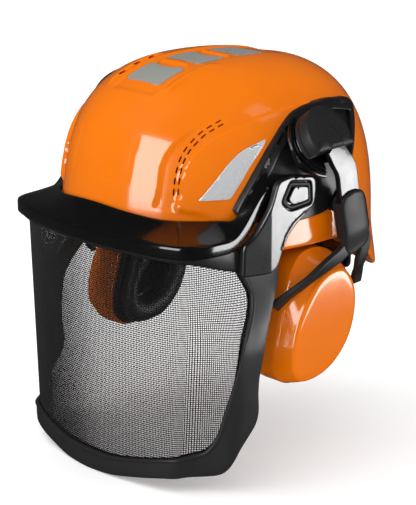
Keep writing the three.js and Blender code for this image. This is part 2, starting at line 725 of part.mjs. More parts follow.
/** Lower edge of the carrier bar: shallow in front and deeper towards the arms. */
function barBottom(along) {
  return -12.5 - 11.5 * smoothStep(90, 146, Math.abs(along));
}

/** Bar under the peak that the frame and the two arms are fixed to. */
function carrierBar() {
  const sections = stations(-VISOR.barEnd, VISOR.barEnd, 33).map((along) => {
    const [top, bottom] = [VISOR.barTop, barBottom(along)];
    const [face, back] = [-2, VISOR.frameThickness];
    return [
      visorPoint(along, top, face), visorPoint(along, bottom, face),
      visorPoint(along, bottom, back), visorPoint(along, top, back),
    ];
  });
  return loft(sections);
}

const FRAME_OUTER = [
  [0, -176.3], [28, -175], [55, -170.8], [80, -166.8], [100, -165.4], [114, -165], [129, -162],
  [142, -153], [156, -138], [163, -129], [165, -121], [164, -108], [164, -97], [166, -84], [169, -66],
  [175, -44], [178, -34], [177, VISOR.top],
];
const FRAME_INNER = [
  [0, -161.5], [28, -161], [55, -157], [80, -152.6], [100, -150], [113, -146.5], [119, -140],
  [123, -133], [129, -115], [133, -105], [137, -96], [142, -84], [147, -72], [152, -58], [154, -48],
  [153, -40], [148, -33], [141, VISOR.top],
];

const FRAME_STEPS = 44; // facets from the middle of the chin to either end

/** Run along one of the frame's edges, from the left end round the chin to the right end. */
function frameEdge(points, steps) {
  const half = new THREE.CatmullRomCurve3(points.map(([s, z]) => v3(s, z, 0)), false, 'centripetal');
  const right = Array.from({ length: steps + 1 }, (_, i) => half.getPoint(i / steps));
  const left = right.slice(1).reverse().map((p) => v3(-p.x, p.y, 0));
  return [...left, ...right].map((p) => [p.x, p.y]);
}

/** U-shaped band of the visor between two depths; shares run from its outer edge, 0, to its inner, 1. */
function visorBand(near, far, shares) {
  const outer = frameEdge(FRAME_OUTER, FRAME_STEPS);
  const inner = frameEdge(FRAME_INNER, FRAME_STEPS);
  return loft(outer.map((edge, i) => {
    const across = shares.map((share) => edge.map((value, k) => value + (inner[i][k] - value) * share));
    const face = across.map((at) => visorPoint(...at, near));
    const back = across.map((at) => visorPoint(...at, far)).reverse();
    return [...face, ...back];
  }));
}

function visorFrame() {
  return visorBand(0, VISOR.frameThickness, [0, 0.4, 0.7, 1]);
}

function screenRetainer() {
  const near = VISOR.frameThickness + 2 * VISOR.screenGap + VISOR.meshThickness;
  return visorBand(near, VISOR.bandDepth, [0.4, 0.7, 1]);
}

const SCREEN_EDGE = [ // half width of the screen against height, inside the frame's band
  [62, -164.5], [75, -162], [88, -159], [97, -156], [106, -152.5], [112, -149.5], [117, -146.5],
  [121, -141], [126, -134], [133, -115], [139, -100], [144, -88], [148, -80], [151, -73], [153, -66],
  [156, -59], [157, -52], [157, -45], [153, -38], [150, -31], [147, -24], [146, -17],
  [146, VISOR.screenTop],
];

/** Woven screen as a thin closed sheet, clamped between frame and retainer. */
function meshScreen() {
  const front = VISOR.frameThickness + VISOR.screenGap;
  return loft(SCREEN_EDGE.map(([width, z]) => {
    const run = stations(-width, width, 41);
    const face = run.map((along) => visorPoint(along, z, front));
    const back = run.map((along) => visorPoint(along, z, front + VISOR.meshThickness)).reverse();
    return [...face, ...back];
  }));
}

const ARM_OUTLINE = [
  [-36, 36], [-28, 37.2], [-8, 34.3], [-5, 31], [-5.4, 18], [-9, 12.3], [-12, 10.5], [-23.7, 3],
  [-30.5, -3.5], [-36.3, -14], [-38.7, -21], [-42, -25], [-48, -27], [-57, -27], [-67, -26.6],
  [-66.3, -5.6], [-59.5, -0.8], [-53.7, 6.4], [-45.9, 19.2], [-41, 32.5], [-39, 35],
];
const ARM_WINDOW = [[-32, 33.5], [-12, 32.5], [-9.5, 19], [-12, 15.5], [-25, 10], [-34, 19]];
const ARM_BEND_Y = -46; // in front of this the arm leans in towards the carrier bar
const ARM_LEAN = 0.25;
const PIVOT_CAP = [[-30, 31.5], [-14, 30.8], [-12, 20], [-14, 17.5], [-25, 13], [-31.5, 20]];

/** Temple arm: boomerang plate from the hinge down and forward to the carrier bar. */
function visorArm() {
  let arm = sidePrism(ARM_OUTLINE, ARM_INNER_X, ARM_OUTER_X);
  arm = arm.subtract(sidePrism(ARM_WINDOW, ARM_OUTER_X - ARM_WINDOW_DEPTH));
  arm = arm.subtract(hingeBore());
  const geometry = toGeometry(arm);
  const position = geometry.getAttribute('position');
  for (let i = 0; i < position.count; i++) {
    position.setX(i, position.getX(i) - ARM_LEAN * Math.max(0, ARM_BEND_Y - position.getY(i)));
  }
  return toSolid(geometry);
}

function visorPivotCap() {
  return sidePrism(PIVOT_CAP, ARM_OUTER_X - ARM_WINDOW_DEPTH + GAP, ARM_OUTER_X + 0.2);
}

function visorHingePin() {
  const [inside, headRadius] = [88.4, 7];
  const shoulder = inside + 1.6;
  const end = ARM_OUTER_X - ARM_WINDOW_DEPTH - 0.2;
  return turned([
    [0, inside], [headRadius, inside], [headRadius, shoulder],
    [HINGE_PIN_RADIUS, shoulder], [HINGE_PIN_RADIUS, end], [0, end],
  ], HINGE);
}

// ---------------------------------------------------------------- headband and suspension

function bandPoint(angle, inward, z) {
  const { halfWidth, halfLength, centreY } = HEADBAND;
  return v3((halfWidth - inward) * Math.cos(angle), centreY + (halfLength - inward) * Math.sin(angle), z);
}

function headband() {
  const { bottom, top, thickness } = HEADBAND;
  const sections = Array.from({ length: 36 }, (_, i) => {
    const angle = (2 * Math.PI * i) / 36;
    const dip = 6 * Math.max(0, Math.sin(angle)) ** 3;
    return [
      bandPoint(angle, 0, bottom - dip), bandPoint(angle, 0, top - dip),
      bandPoint(angle, thickness, top - dip), bandPoint(angle, thickness, bottom - dip),
    ];
  });
  return loft(sections, true).add(napeTail(1)).add(napeTail(-1));
}

/** Tail of the headband that runs down into the nape housing. */
function napeTail(sign) {
  const path = new THREE.CatmullRomCurve3([
    v3(58 * sign, 65.5, 0), v3(56 * sign, 73, -22), v3(48 * sign, 87, -46),
    v3(38 * sign, 95.6, -57), v3(24 * sign, 96.6, -59),
  ]);
  const sections = stations(0, 1, 13).map((t) => {
    const at = path.getPoint(t);
    const along = path.getTangent(t);
    const out = v3(at.x, at.y, 0).normalize();
    out.addScaledVector(along, -out.dot(along)).normalize();
    const wide = along.clone().cross(out);
    const corner = (s, d) => at.clone().addScaledVector(wide, s * 5).addScaledVector(out, d * 0.9);
    return [corner(-1, -1), corner(1, -1), corner(1, 1), corner(-1, 1)];
  });
  return loft(sections);
}

/** Padded band inside the front half of the headband. */
function sweatband() {
  const { thickness, bottom, top } = HEADBAND;
  const sections = stations(-Math.PI * 0.93, -Math.PI * 0.07, 33).map((angle) => {
    const near = thickness + 2 * GAP;
    return [
      bandPoint(angle, near, bottom + 1), bandPoint(angle, near, top - 1),
      bandPoint(angle, near + 3.2, top - 3), bandPoint(angle, near + 3.2, bottom + 3),
    ];
  });
  return loft(sections);
}

const CLIP_ANGLES = { front: -Math.PI * 0.29, rear: Math.PI * 0.27 };

/** Clip that hangs the headband from the inside of the shell. */
function strapClip(angle) {
  const foot = bandPoint(angle, -GAP, 2);
  const wall = shellPoint(angle, 2, -SHELL.wall - 3.5);
  const out = v3(Math.cos(angle), Math.sin(angle), 0);
  const across = v3(-Math.sin(angle), Math.cos(angle), 0);
  const section = (at, wide, tall, shift) => [[-1, -1], [1, -1], [1, 1], [-1, 1]].map(([s, t]) => (
    at.clone().addScaledVector(across, s * wide).add(v3(0, 0, t * tall)).addScaledVector(out, shift)));
  return loft([
    section(foot, 8, 7, 1.2), section(foot, 8, 7, 4), section(wall, 10, 5, -3), section(wall, 10, 5, 0),
  ]);
}

/** Strap over the head between two clips that face each other across it. */
function crownStrap(frontAngle, rearAngle, apex) {
  const from = bandPoint(frontAngle, -5, 10);
  const to = bandPoint(rearAngle, -5, 10);
  const centre = from.clone().lerp(to, 0.5).setZ(0);
  const reach = from.clone().setZ(0).sub(centre);
  const across = v3(-reach.y, reach.x, 0).normalize();
  const sections = stations(0, Math.PI, 21).map((turn) => {
    const point = (height, scale) => centre.clone().addScaledVector(reach, Math.cos(turn) * scale)
      .add(v3(0, 0, 11 + Math.sin(turn) ** 0.8 * (height - 11)));
    const side = (at, s) => at.clone().addScaledVector(across, s * 9);
    const [low, high] = [point(apex - 1, 0.985), point(apex, 1)];
    return [side(low, -1), side(low, 1), side(high, 1), side(high, -1)];
  });
  return loft(sections);
}

/** Housing at the nape: the band's two tails slide in its slots. */
function napeHousing() {
  const { halfWidth, front, back, bottom, top } = NAPE;
  const shape = roundedBox(2 * halfWidth, top - bottom, 6);
  let housing = prism(shape, front, back, knobFrame(), 4);
  for (const sign of [1, -1]) {
    const [near, far] = [20 * sign, 50 * sign];
    housing = housing.subtract(block(
      [Math.min(near, far), front + 4.6, -65.5], [Math.max(near, far), back - 2, -50.8],
    ));
  }
  return housing.subtract(rod(KNOB.axleRadius + 0.4, front + 6, back + 2, knobFrame(), 16));
}

function ratchetKnob() {
  const points = [];
  const steps = KNOB.lobes * 4;
  for (let i = 0; i < steps; i++) {
    const turn = (2 * Math.PI * i) / steps;
    const r = KNOB.radius - 0.7 + 0.7 * Math.cos(KNOB.lobes * turn);
    points.push([r * Math.cos(turn), r * Math.sin(turn)]);
  }
  const shape = outline(points);
  const axle = rod(KNOB.axleRadius, NAPE.front + 7, KNOB.front + 1, knobFrame(), 16);
  return prism(shape, KNOB.front, KNOB.back, knobFrame()).add(axle);
}

function knobFrame() {
  return frameAt(v3(0, 0, (NAPE.top + NAPE.bottom) / 2), v3(1, 0, 0), v3(0, 1, 0));
}

function napePad() {
  const shape = roundedBox(2 * NAPE.halfWidth - 10, NAPE.top - NAPE.bottom - 2, 6);
  return prism(shape, NAPE.front - 5, NAPE.front - GAP, knobFrame(), 4);
}

// ---------------------------------------------------------------- assembly

addPart('outer_shell', outerShell(), ORANGE);
for (const [name, range] of Object.entries(PATCHES)) {
  addPart(`crown_patch_${name}`, crownPatch(range), FOIL_GREY);
}
addPair('side_reflector', sideReflector(), FOIL_SILVER);
addPair('side_plate', sidePlate(), SATIN_BLACK);
for (const [name, place] of Object.entries(SCREWS)) {
  addPair(`plate_screw_${name}`, plateScrew(place), STEEL);
}

addPair('muff_pivot_base', pivotBase(), SATIN_BLACK);
addPair('muff_pivot_pin', pivotPin(), STEEL);
addPair('muff_pivot_cap', pivotCap(), SATIN_BLACK);
addPair('muff_flare_pin', flarePin(), STEEL);
addPair('muff_arm', muffArm(), SATIN_BLACK);
addPair('muff_sleeve', muffSleeve(), SATIN_BLACK);
addPair('cup_pin_front', cupPin(-1), STEEL);
addPair('cup_pin_rear', cupPin(1), STEEL);
addPair('ear_cup', earCup(), ORANGE);
addPair('cup_back_plate', cupBackPlate(), SATIN_BLACK);
addPair('ear_foam', earFoam(), FOAM);
addPair('ear_cushion', earCushion(), LEATHERETTE);

addPart('brim', brim(), GLOSS_BLACK);
addPart('visor_carrier', carrierBar(), SATIN_BLACK);
addPart('visor_frame', visorFrame(), SATIN_BLACK);
addPart('screen_retainer', screenRetainer(), SATIN_BLACK);
addPart('mesh_screen', meshScreen(), NYLON_BLACK);
addPair('visor_arm', visorArm(), SATIN_BLACK);
addPair('visor_pivot_cap', visorPivotCap(), SATIN_BLACK);
addPair('visor_hinge_pin', visorHingePin(), STEEL);

addPart('headband', headband(), SATIN_BLACK);
addPart('sweatband', sweatband(), LEATHERETTE);
for (const [name, angle] of Object.entries(CLIP_ANGLES)) {
  addPair(`strap_clip_${name}`, strapClip(angle), SATIN_BLACK);
}
addPart('crown_strap_first', crownStrap(CLIP_ANGLES.front, Math.PI - CLIP_ANGLES.rear, 76), WEBBING);
addPart('crown_strap_second', crownStrap(Math.PI - CLIP_ANGLES.front, CLIP_ANGLES.rear, 79), WEBBING);
addPart('nape_housing', napeHousing(), SATIN_BLACK);
addPart('ratchet_knob', ratchetKnob(), SATIN_BLACK);
addPart('nape_pad', napePad(), LEATHERETTE);

parts.position.set(0, CENTRE_SHIFT, FLOOR_DROP);

export default parts;
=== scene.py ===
"""Looks for the forestry helmet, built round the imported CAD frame.

Shapes are drawn in millimetres about the middle of the shell at brim level (wearer faces -Y,
wearer's left is +X) and are placed in the frame in metres by to_row().
"""
import math

import bmesh
import bpy
import numpy as np
from mathutils import Matrix, Vector
from mathutils.geometry import delaunay_2d_cdt


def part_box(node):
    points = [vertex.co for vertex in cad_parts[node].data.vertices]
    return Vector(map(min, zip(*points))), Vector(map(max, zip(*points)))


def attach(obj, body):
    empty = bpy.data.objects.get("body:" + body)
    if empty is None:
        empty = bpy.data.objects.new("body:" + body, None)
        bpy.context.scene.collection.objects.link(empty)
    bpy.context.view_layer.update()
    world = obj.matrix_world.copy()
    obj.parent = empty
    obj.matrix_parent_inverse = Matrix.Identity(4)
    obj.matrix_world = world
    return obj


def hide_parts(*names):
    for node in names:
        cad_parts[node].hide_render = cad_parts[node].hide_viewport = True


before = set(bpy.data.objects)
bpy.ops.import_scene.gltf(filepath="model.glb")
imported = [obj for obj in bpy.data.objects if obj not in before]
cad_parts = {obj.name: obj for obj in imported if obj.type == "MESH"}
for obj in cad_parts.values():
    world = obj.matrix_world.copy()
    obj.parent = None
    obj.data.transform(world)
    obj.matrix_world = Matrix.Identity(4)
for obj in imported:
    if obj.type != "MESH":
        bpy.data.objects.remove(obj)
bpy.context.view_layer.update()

# ---------- placing

HINGE_Y, HINGE_Z = -23.0, 25.0
_lo, _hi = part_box("visor_hinge_pin_left")
ORIGIN = np.array([0.0, (_lo.y + _hi.y) / 2 - HINGE_Y * 0.001, (_lo.z + _hi.z) / 2 - HINGE_Z * 0.001])


def to_row(points):
    return np.asarray(points, float) * 0.001 + ORIGIN


# ---------- materials

def srgb(r, g, b):
    """Linear colour, with alpha, from 8-bit sRGB values."""
    return (*(((c / 255 + 0.055) / 1.055) ** 2.4 if c > 10 else c / 255 / 12.92 for c in (r, g, b)), 1.0)


def tint(color, factor, lift=0.0):
    return (*(min(1.0, c * factor + lift) for c in color[:3]), 1.0)


class Mat:
    """Short hand for building a node material."""

    def __init__(self, name):
        self.mat = bpy.data.materials.new(name)
        self.mat.use_nodes = True
        self.nodes = self.mat.node_tree.nodes
        self.links = self.mat.node_tree.links
        self.out = self.nodes["Principled BSDF"]
        self.coord = self.nodes.new("ShaderNodeTexCoord").outputs["Object"]

    def set(self, **values):
        for key, value in values.items():
            self.out.inputs[key.replace("_", " ")].default_value = value
        return self

    def feed(self, socket, value):
        """Links a socket to an output, or gives it a plain value."""
        if hasattr(value, "links"):
            self.links.new(value, socket)
        else:
            socket.default_value = value

    def node(self, kind, **values):
        """Adds a node; each value goes to the input of that name, or else to the property."""
        made = self.nodes.new("ShaderNode" + kind)
        for key, value in values.items():
            if key in made.inputs:
                self.feed(made.inputs[key], value)
            else:
                setattr(made, key, value)
        return made

    def noise(self, scale, detail=3.0):
        made = self.node("TexNoise", Scale=scale, Detail=detail, Roughness=0.55, Vector=self.coord)
        return made.outputs["Fac"]

    def cells(self, scale, feature):
        return self.node("TexVoronoi", Scale=scale, feature=feature, Vector=self.coord).outputs["Distance"]

    def span(self, value, low, high, from_low=0.0, from_high=1.0):
        sockets = {"From Min": from_low, "From Max": from_high, "To Min": low, "To Max": high, "Value": value}
        return self.node("MapRange", **sockets).outputs["Result"]

    def mix(self, factor, first, second):
        made = self.node("Mix", data_type="RGBA")
        for k, value in ((0, factor), (6, first), (7, second)):
            self.feed(made.inputs[k], value)
        return made.outputs[2]

    def math(self, kind, a, b):
        made = self.node("Math", operation=kind)
        self.feed(made.inputs[0], a)
        self.feed(made.inputs[1], b)
        return made.outputs[0]

    def to(self, value, name):
        self.links.new(value, self.out.inputs[name])

    def bump(self, height, strength, distance):
        made = self.node("Bump", Strength=strength, Distance=distance, Height=height)
        self.to(made.outputs["Normal"], "Normal")


def plastic(name, color, rough, coat=0.0, grain=0.0, grain_scale=2500.0, specular=0.5, spread=0.04,
            edge_highlight=0.25):
    """Moulded plastic: blotched colour, a painted highlight on convex edges, uneven gloss, and a grain or a
    slow flow.
    """
    m = Mat(name)
    m.set(Roughness=rough, Coat_Weight=coat, Coat_Roughness=0.04, Specular_IOR_Level=specular)
    # Convex edges, found by pointiness, are painted paler: a painted highlight along every edge.
    edge = m.span(m.node("NewGeometry").outputs["Pointiness"], 0.0, edge_highlight, 0.52, 0.62)
    body = m.mix(m.noise(35.0, 4.0), tint(color, 0.93), tint(color, 1.05))
    m.to(m.mix(edge, body, tint(color, 1.25, 0.02)), "Base Color")
    m.to(m.span(m.noise(90.0, 5.0), rough - spread, rough + spread, 0.3, 0.7), "Roughness")
    if grain:
        m.bump(m.noise(grain_scale, 2.0), grain, 0.00008)
    else:
        m.bump(m.noise(55.0, 2.0), 0.04, 0.0006)
    return m.mat


ORANGE = plastic("orange_abs", srgb(244, 121, 1), 0.15, coat=0.4, spread=0.02, edge_highlight=0.1)
GLOSS_BLACK = plastic("gloss_black_abs", srgb(10, 10, 11), 0.14, coat=0.3)
SATIN_BLACK = plastic("satin_black_nylon", srgb(26, 26, 27), 0.34, grain=0.2)
GRIP_BLACK = plastic("grained_black_nylon", srgb(16, 16, 17), 0.44, grain=0.55, grain_scale=1600.0,
                     spread=0.06)
VISOR_BLACK = plastic("visor_black_nylon", srgb(40, 40, 41), 0.4, grain=0.3, grain_scale=1900.0, specular=0.3)
ARM_BLACK = plastic("polished_black_nylon", srgb(16, 16, 17), 0.3, coat=0.3, grain=0.12, specular=0.9)
MATT_BLACK = plastic("matt_black_nylon", srgb(36, 36, 37), 0.42, grain=0.25, specular=0.22)


def mesh_nylon():
    m = Mat("mesh_black_nylon").set(Roughness=0.5, Specular_IOR_Level=0.35)
    m.to(m.mix(m.noise(120.0), srgb(14, 14, 15), srgb(26, 26, 28)), "Base Color")
    m.bump(m.noise(4000.0), 0.2, 0.00005)
    return m.mat


def foil(name, low, high, rough, metallic):
    """Reflective film: fine honeycomb of cells under a clear face."""
    m = Mat(name).set(Roughness=rough, Metallic=metallic, Coat_Weight=0.35, Coat_Roughness=0.12)
    edge = m.span(m.cells(1400.0, "DISTANCE_TO_EDGE"), 0.0, 1.0, 0.0, 0.18)
    m.to(m.mix(edge, low, high), "Base Color")
    m.to(m.span(m.noise(60.0), rough - 0.06, rough + 0.06), "Roughness")
    m.bump(edge, 0.25, 0.00005)
    return m.mat


def leather():
    m = Mat("leatherette").set(Roughness=0.5, Coat_Weight=0.12, Coat_Roughness=0.3, Sheen_Weight=0.1)
    m.to(m.mix(m.noise(45.0, 4.0), srgb(11, 11, 12), srgb(22, 22, 23)), "Base Color")
    m.to(m.span(m.noise(200.0), 0.42, 0.6), "Roughness")
    creases = m.math("MULTIPLY", m.noise(60.0, 5.0), 1.5)
    m.bump(m.math("ADD", m.cells(900.0, "SMOOTH_F1"), creases), 0.5, 0.0003)
    return m.mat


def foam():
    m = Mat("open_cell_foam").set(Roughness=0.95, Specular_IOR_Level=0.1)
    cells = m.cells(700.0, "F1")
    m.to(m.mix(cells, srgb(40, 41, 43), srgb(14, 14, 15)), "Base Color")
    m.bump(m.math("ADD", cells, m.noise(1500.0)), 0.9, 0.0007)
    return m.mat


def webbing():
    m = Mat("black_webbing").set(Roughness=0.8, Sheen_Weight=0.4, Specular_IOR_Level=0.25)
    split = m.node("SeparateXYZ", Vector=m.coord)
    x, y, z = (m.math("SINE", m.math("MULTIPLY", split.outputs[k], 5200.0), 0.0) for k in "XYZ")
    weave = m.math("MULTIPLY", m.math("ADD", x, y), m.math("ADD", z, 1.3))
    m.to(m.mix(m.span(weave, 0.0, 1.0, -2.0, 2.0), srgb(22, 22, 24), srgb(52, 52, 56)), "Base Color")
    m.bump(weave, 0.5, 0.0002)
    return m.mat


def steel():
    m = Mat("zinc_steel").set(Metallic=1.0, Roughness=0.32)
    m.to(m.mix(m.noise(150.0, 5.0), srgb(150, 152, 155), srgb(185, 187, 190)), "Base Color")
    m.to(m.span(m.noise(700.0, 4.0), 0.22, 0.42), "Roughness")
    m.bump(m.noise(2600.0), 0.15, 0.00005)
    return m.mat


MESH_NYLON = mesh_nylon()
FOIL_GREY = foil("grey_film", srgb(142, 142, 137), srgb(172, 172, 166), 0.4, 0.15)
FOIL_SILVER = foil("silver_film", srgb(214, 216, 218), srgb(246, 247, 248), 0.28, 0.35)
LEATHER = leather()
FOAM = foam()
WEBBING = webbing()
STEEL = steel()

# ---------- mesh tools

WELD = 2e-6
SHARP = 38.0


def new_mesh(name, verts, faces):
    """Mesh from millimetre points, welded, with its normals facing out."""
    mesh = bpy.data.meshes.new(name)
    mesh.from_pydata(to_row(verts).tolist(), [], [list(f) for f in faces])
    work = bmesh.new()
    work.from_mesh(mesh)
    bmesh.ops.remove_doubles(work, verts=work.verts, dist=WELD)
    bmesh.ops.recalc_face_normals(work, faces=work.faces)
    work.to_mesh(mesh)
    work.free()
    return mesh


def add_object(name, data):
    made = bpy.data.objects.new(name, data)
    bpy.context.scene.collection.objects.link(made)
    return made


def smooth(mesh, sharp):
    mesh.shade_smooth()
    mesh.set_sharp_from_angle(angle=math.radians(sharp))


def bake(piece):
    """Applies a piece's modifiers."""
    graph = bpy.context.evaluated_depsgraph_get()
    piece.data = bpy.data.meshes.new_from_object(piece.evaluated_get(graph))
    piece.modifiers.clear()


def build(name, made, material, body, stands=(), sharp=SHARP):
    """Makes a piece that rides on a body and stands for CAD nodes."""
    piece = add_object(name, new_mesh(name, *made))
    smooth(piece.data, sharp)
    piece.data.materials.append(material)
    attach(piece, body)
    if stands:
        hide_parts(*stands)
    return piece


def pair(name, made, material, body, node=None, sharp=SHARP):
    """The same piece on the left and mirrored on the right; {s} in a name is the side."""
    pieces = []
    for side, sign in (("left", 1), ("right", -1)):
        stands = [node.format(s=side)] if node else []
        sided = (made[0] * [sign, 1, 1], made[1])
        pieces.append(build(f"{name}_{side}", sided, material, body.format(s=side), stands, sharp))
    return pieces


def join(*made):
    verts, faces = [], []
    for points, polygons in made:
        start = sum(len(v) for v in verts)
        verts.append(np.asarray(points, float))
        faces += [[i + start for i in f] for f in polygons]
    return np.vstack(verts), faces


def smooth_step(low, high, value):
    t = np.clip((np.asarray(value, float) - low) / (high - low), 0, 1)
    return t * t * (3 - 2 * t)


def curve(points, steps, closed=False):
    """Centripetal Catmull-Rom curve through the points, with steps samples to each span."""
    p = np.asarray(points, float)
    if closed:
        p = np.vstack([p[-1:], p, p[:2]])
    else:
        p = np.vstack([2 * p[0] - p[1], p, 2 * p[-1] - p[-2]])
    out = []
    u = np.arange(steps)[:, None] / steps
    for a, b, c, d in zip(p[:-3], p[1:-2], p[2:-1], p[3:]):
        t = [max(1e-4, np.linalg.norm(y - x)) ** 0.5 for x, y in ((a, b), (b, c), (c, d))]
        m1 = ((b - a) / t[0] - (c - a) / (t[0] + t[1]) + (c - b) / t[1]) * t[1]
        m2 = ((c - b) / t[1] - (d - b) / (t[1] + t[2]) + (d - c) / t[2]) * t[1]
        out.append((2 * u**3 - 3 * u**2 + 1) * b + (u**3 - 2 * u**2 + u) * m1
                   + (3 * u**2 - 2 * u**3) * c + (u**3 - u**2) * m2)
    if not closed:
        out.append(p[-2:-1])
    return np.vstack(out)


def respace(points, count, closed=False):
    """The same run with count points evenly spaced along it."""
    p = np.asarray(points, float)
    if closed:
        p = np.vstack([p, p[:1]])
    along = np.concatenate([[0], np.cumsum(np.linalg.norm(np.diff(p, axis=0), axis=1))])
    at = np.linspace(0, along[-1], count + 1)[:-1] if closed else np.linspace(0, along[-1], count)
    return np.stack([np.interp(at, along, p[:, k]) for k in range(p.shape[1])], 1)


def rounded(points, radius, steps=6):
    """Polygon with each corner rounded; a point may carry its own radius as a third number."""
    out = []
    n = len(points)
    for i in range(n):
        here = np.array(points[i][:2], float)
        r = points[i][2] if len(points[i]) > 2 else radius
        before, after = (np.array(points[(i + k) % n][:2], float) - here for k in (-1, 1))
        la, lb = np.linalg.norm(before), np.linalg.norm(after)
        cut = min(r, 0.48 * la, 0.48 * lb)
        start, end = here + before / la * cut, here + after / lb * cut
        for k in range(steps + 1):
            t = k / steps
            out.append((1 - t) ** 2 * start + 2 * t * (1 - t) * here + t * t * end)
    return np.array(out)


def dense(points, step):
    """Closed polygon with extra points so that no side is longer than step."""
    out = []
    for a, b in zip(points, np.roll(points, -1, 0)):
        count = max(1, int(math.ceil(np.linalg.norm(b - a) / step)))
        out += [a + (b - a) * k / count for k in range(count)]
    return np.array(out)


def turn_area(p):
    return 0.5 * np.sum(p[:, 0] * np.roll(p[:, 1], -1) - np.roll(p[:, 0], -1) * p[:, 1])


def inset(p, amount):
    """Moves a closed outline to its left; that is inward for one that runs anticlockwise."""
    if amount == 0:
        return p
    a, b = p - np.roll(p, 1, 0), np.roll(p, -1, 0) - p
    a, b = (v / np.maximum(np.linalg.norm(v, axis=1), 1e-9)[:, None] for v in (a, b))
    na, nb = (np.stack([-v[:, 1], v[:, 0]], 1) for v in (a, b))
    n = na + nb
    n /= np.maximum(np.linalg.norm(n, axis=1), 1e-9)[:, None]
    return p + n * (amount / np.clip(np.sum(n * na, 1), 0.6, 1))[:, None]


def inside(points, polygon):
    x, y = points[:, 0], points[:, 1]
    hit = np.zeros(len(points), bool)
    for (x1, y1), (x2, y2) in zip(polygon, np.roll(polygon, -1, 0)):
        if y1 == y2:
            continue
        hit ^= ((y1 > y) != (y2 > y)) & (x < (x2 - x1) * (y - y1) / (y2 - y1) + x1)
    return hit


def fill(loops, spacing):
    """Triangles over the first loop less the others, with a grid of points inside."""
    low, high = loops[0].min(0), loops[0].max(0)
    gx, gy = (np.arange(a + spacing / 2, b, spacing) for a, b in zip(low, high))
    grid = np.stack(np.meshgrid(gx, gy), -1).reshape(-1, 2)
    keep = inside(grid, inset(loops[0], spacing * 0.45))
    for hole in loops[1:]:
        keep &= ~inside(grid, inset(hole, spacing * 0.45))
    coords = np.vstack([*loops, grid[keep]])
    edges, start = [], 0
    for loop in loops:
        n = len(loop)
        edges += [(start + i, start + (i + 1) % n) for i in range(n)]
        start += n
    points, _, faces, *_ = delaunay_2d_cdt([Vector(c) for c in coords], edges, [], 0, 1e-6)
    points = np.array([tuple(p) for p in points])
    centres = np.array([points[list(f)].mean(0) for f in faces])
    good = inside(centres, loops[0])
    for hole in loops[1:]:
        good &= ~inside(centres, hole)
    return points, [list(f) for f, ok in zip(faces, good) if ok]


def slab(outer, holes, levels, place, spacing):
    """Plate with rounded edges: levels are (inset, depth) from the back to the face."""
    loops = [outer if turn_area(outer) > 0 else outer[::-1]]
    loops += [h if turn_area(h) < 0 else h[::-1] for h in holes]
    verts, faces, count = [], [], 0
    for loop in loops:
        n = len(loop)
        for k, (amount, depth) in enumerate(levels):
            verts.append(np.column_stack([inset(loop, amount), np.full(n, depth)]))
            if k:
                a, b = count + (k - 1) * n, count + k * n
                faces += [[a + i, a + (i + 1) % n, b + (i + 1) % n, b + i] for i in range(n)]
        count += n * len(levels)
    for amount, depth in (levels[0], levels[-1]):
        points, triangles = fill([inset(loop, amount) for loop in loops], spacing)
        verts.append(np.column_stack([points, np.full(len(points), depth)]))
        faces += [[i + count for i in f] for f in triangles]
        count += len(points)
    flat = np.vstack(verts)
    return place(flat[:, 0], flat[:, 1], flat[:, 2]), faces


def edge_levels(back, front, radius, both=False, steps=4):
    """Levels of a plate whose front edge, and back edge if both, is rounded to a radius."""
    turn = np.linspace(0, math.pi / 2, steps + 1)
    top = [(radius * (1 - math.cos(t)), front - radius + radius * math.sin(t)) for t in turn]
    bottom = [(radius * (1 - math.cos(t)), back + radius - radius * math.sin(t)) for t in turn[::-1]]
    return (bottom if both else [(0.0, back)]) + top


def sweep(rings, closed=False):
    """Skin over equal rings of points, capped unless the last ring joins the first."""
    rings = [np.asarray(r, float) for r in rings]
    n, m = len(rings[0]), len(rings)
    faces = []
    for i in range(m if closed else m - 1):
        a, b = i * n, ((i + 1) % m) * n
        faces += [[a + j, a + (j + 1) % n, b + (j + 1) % n, b + j] for j in range(n)]
    if not closed:
        faces += [list(range(n)), list(range((m - 1) * n, m * n))]
    return np.vstack(rings), faces


def lathe(profile, place, segments):
    turns = np.linspace(0, 2 * math.pi, segments, endpoint=False)
    return sweep([place(r * np.cos(turns), r * np.sin(turns), h) for r, h in profile])


def prism(shape, place, low, high):
    return sweep([place(shape[:, 0], shape[:, 1], h) for h in (low, high)])


def round_rect(width, height, radius, steps=4):
    w, h = width / 2 - radius, height / 2 - radius
    out = []
    for cx, cy, start in ((w, h, 0), (-w, h, 90), (-w, -h, 180), (w, -h, 270)):
        for k in range(steps + 1):
            t = math.radians(start + 90 * k / steps)
            out.append((cx + radius * math.cos(t), cy + radius * math.sin(t)))
    return np.array(out)


def unit(v):
    v = np.asarray(v, float)
    return v / np.linalg.norm(v)


def placer(origin, first, third):
    """Mapping of (a, b, c) along a frame's axes to millimetre points."""
    z = unit(third)
    x = unit(np.asarray(first, float) - z * np.dot(first, z))
    y = np.cross(z, x)

    def place(a, b, c):
        a, b, c = (np.atleast_1d(np.asarray(k, float)) for k in (a, b, c))
        return np.asarray(origin, float) + a[:, None] * x + b[:, None] * y + c[:, None] * z
    place.axes = (x, y, z)
    return place


def cut(piece, made):
    """Cuts a closed solid out of a piece."""
    tool = add_object("cutter", new_mesh("cutter", *made))
    boolean = piece.modifiers.new("cut", "BOOLEAN")
    boolean.object = tool
    boolean.solver = "EXACT"
    boolean.use_self = True
    bpy.context.view_layer.update()
    bake(piece)
    smooth(piece.data, SHARP)
    bpy.data.objects.remove(tool)


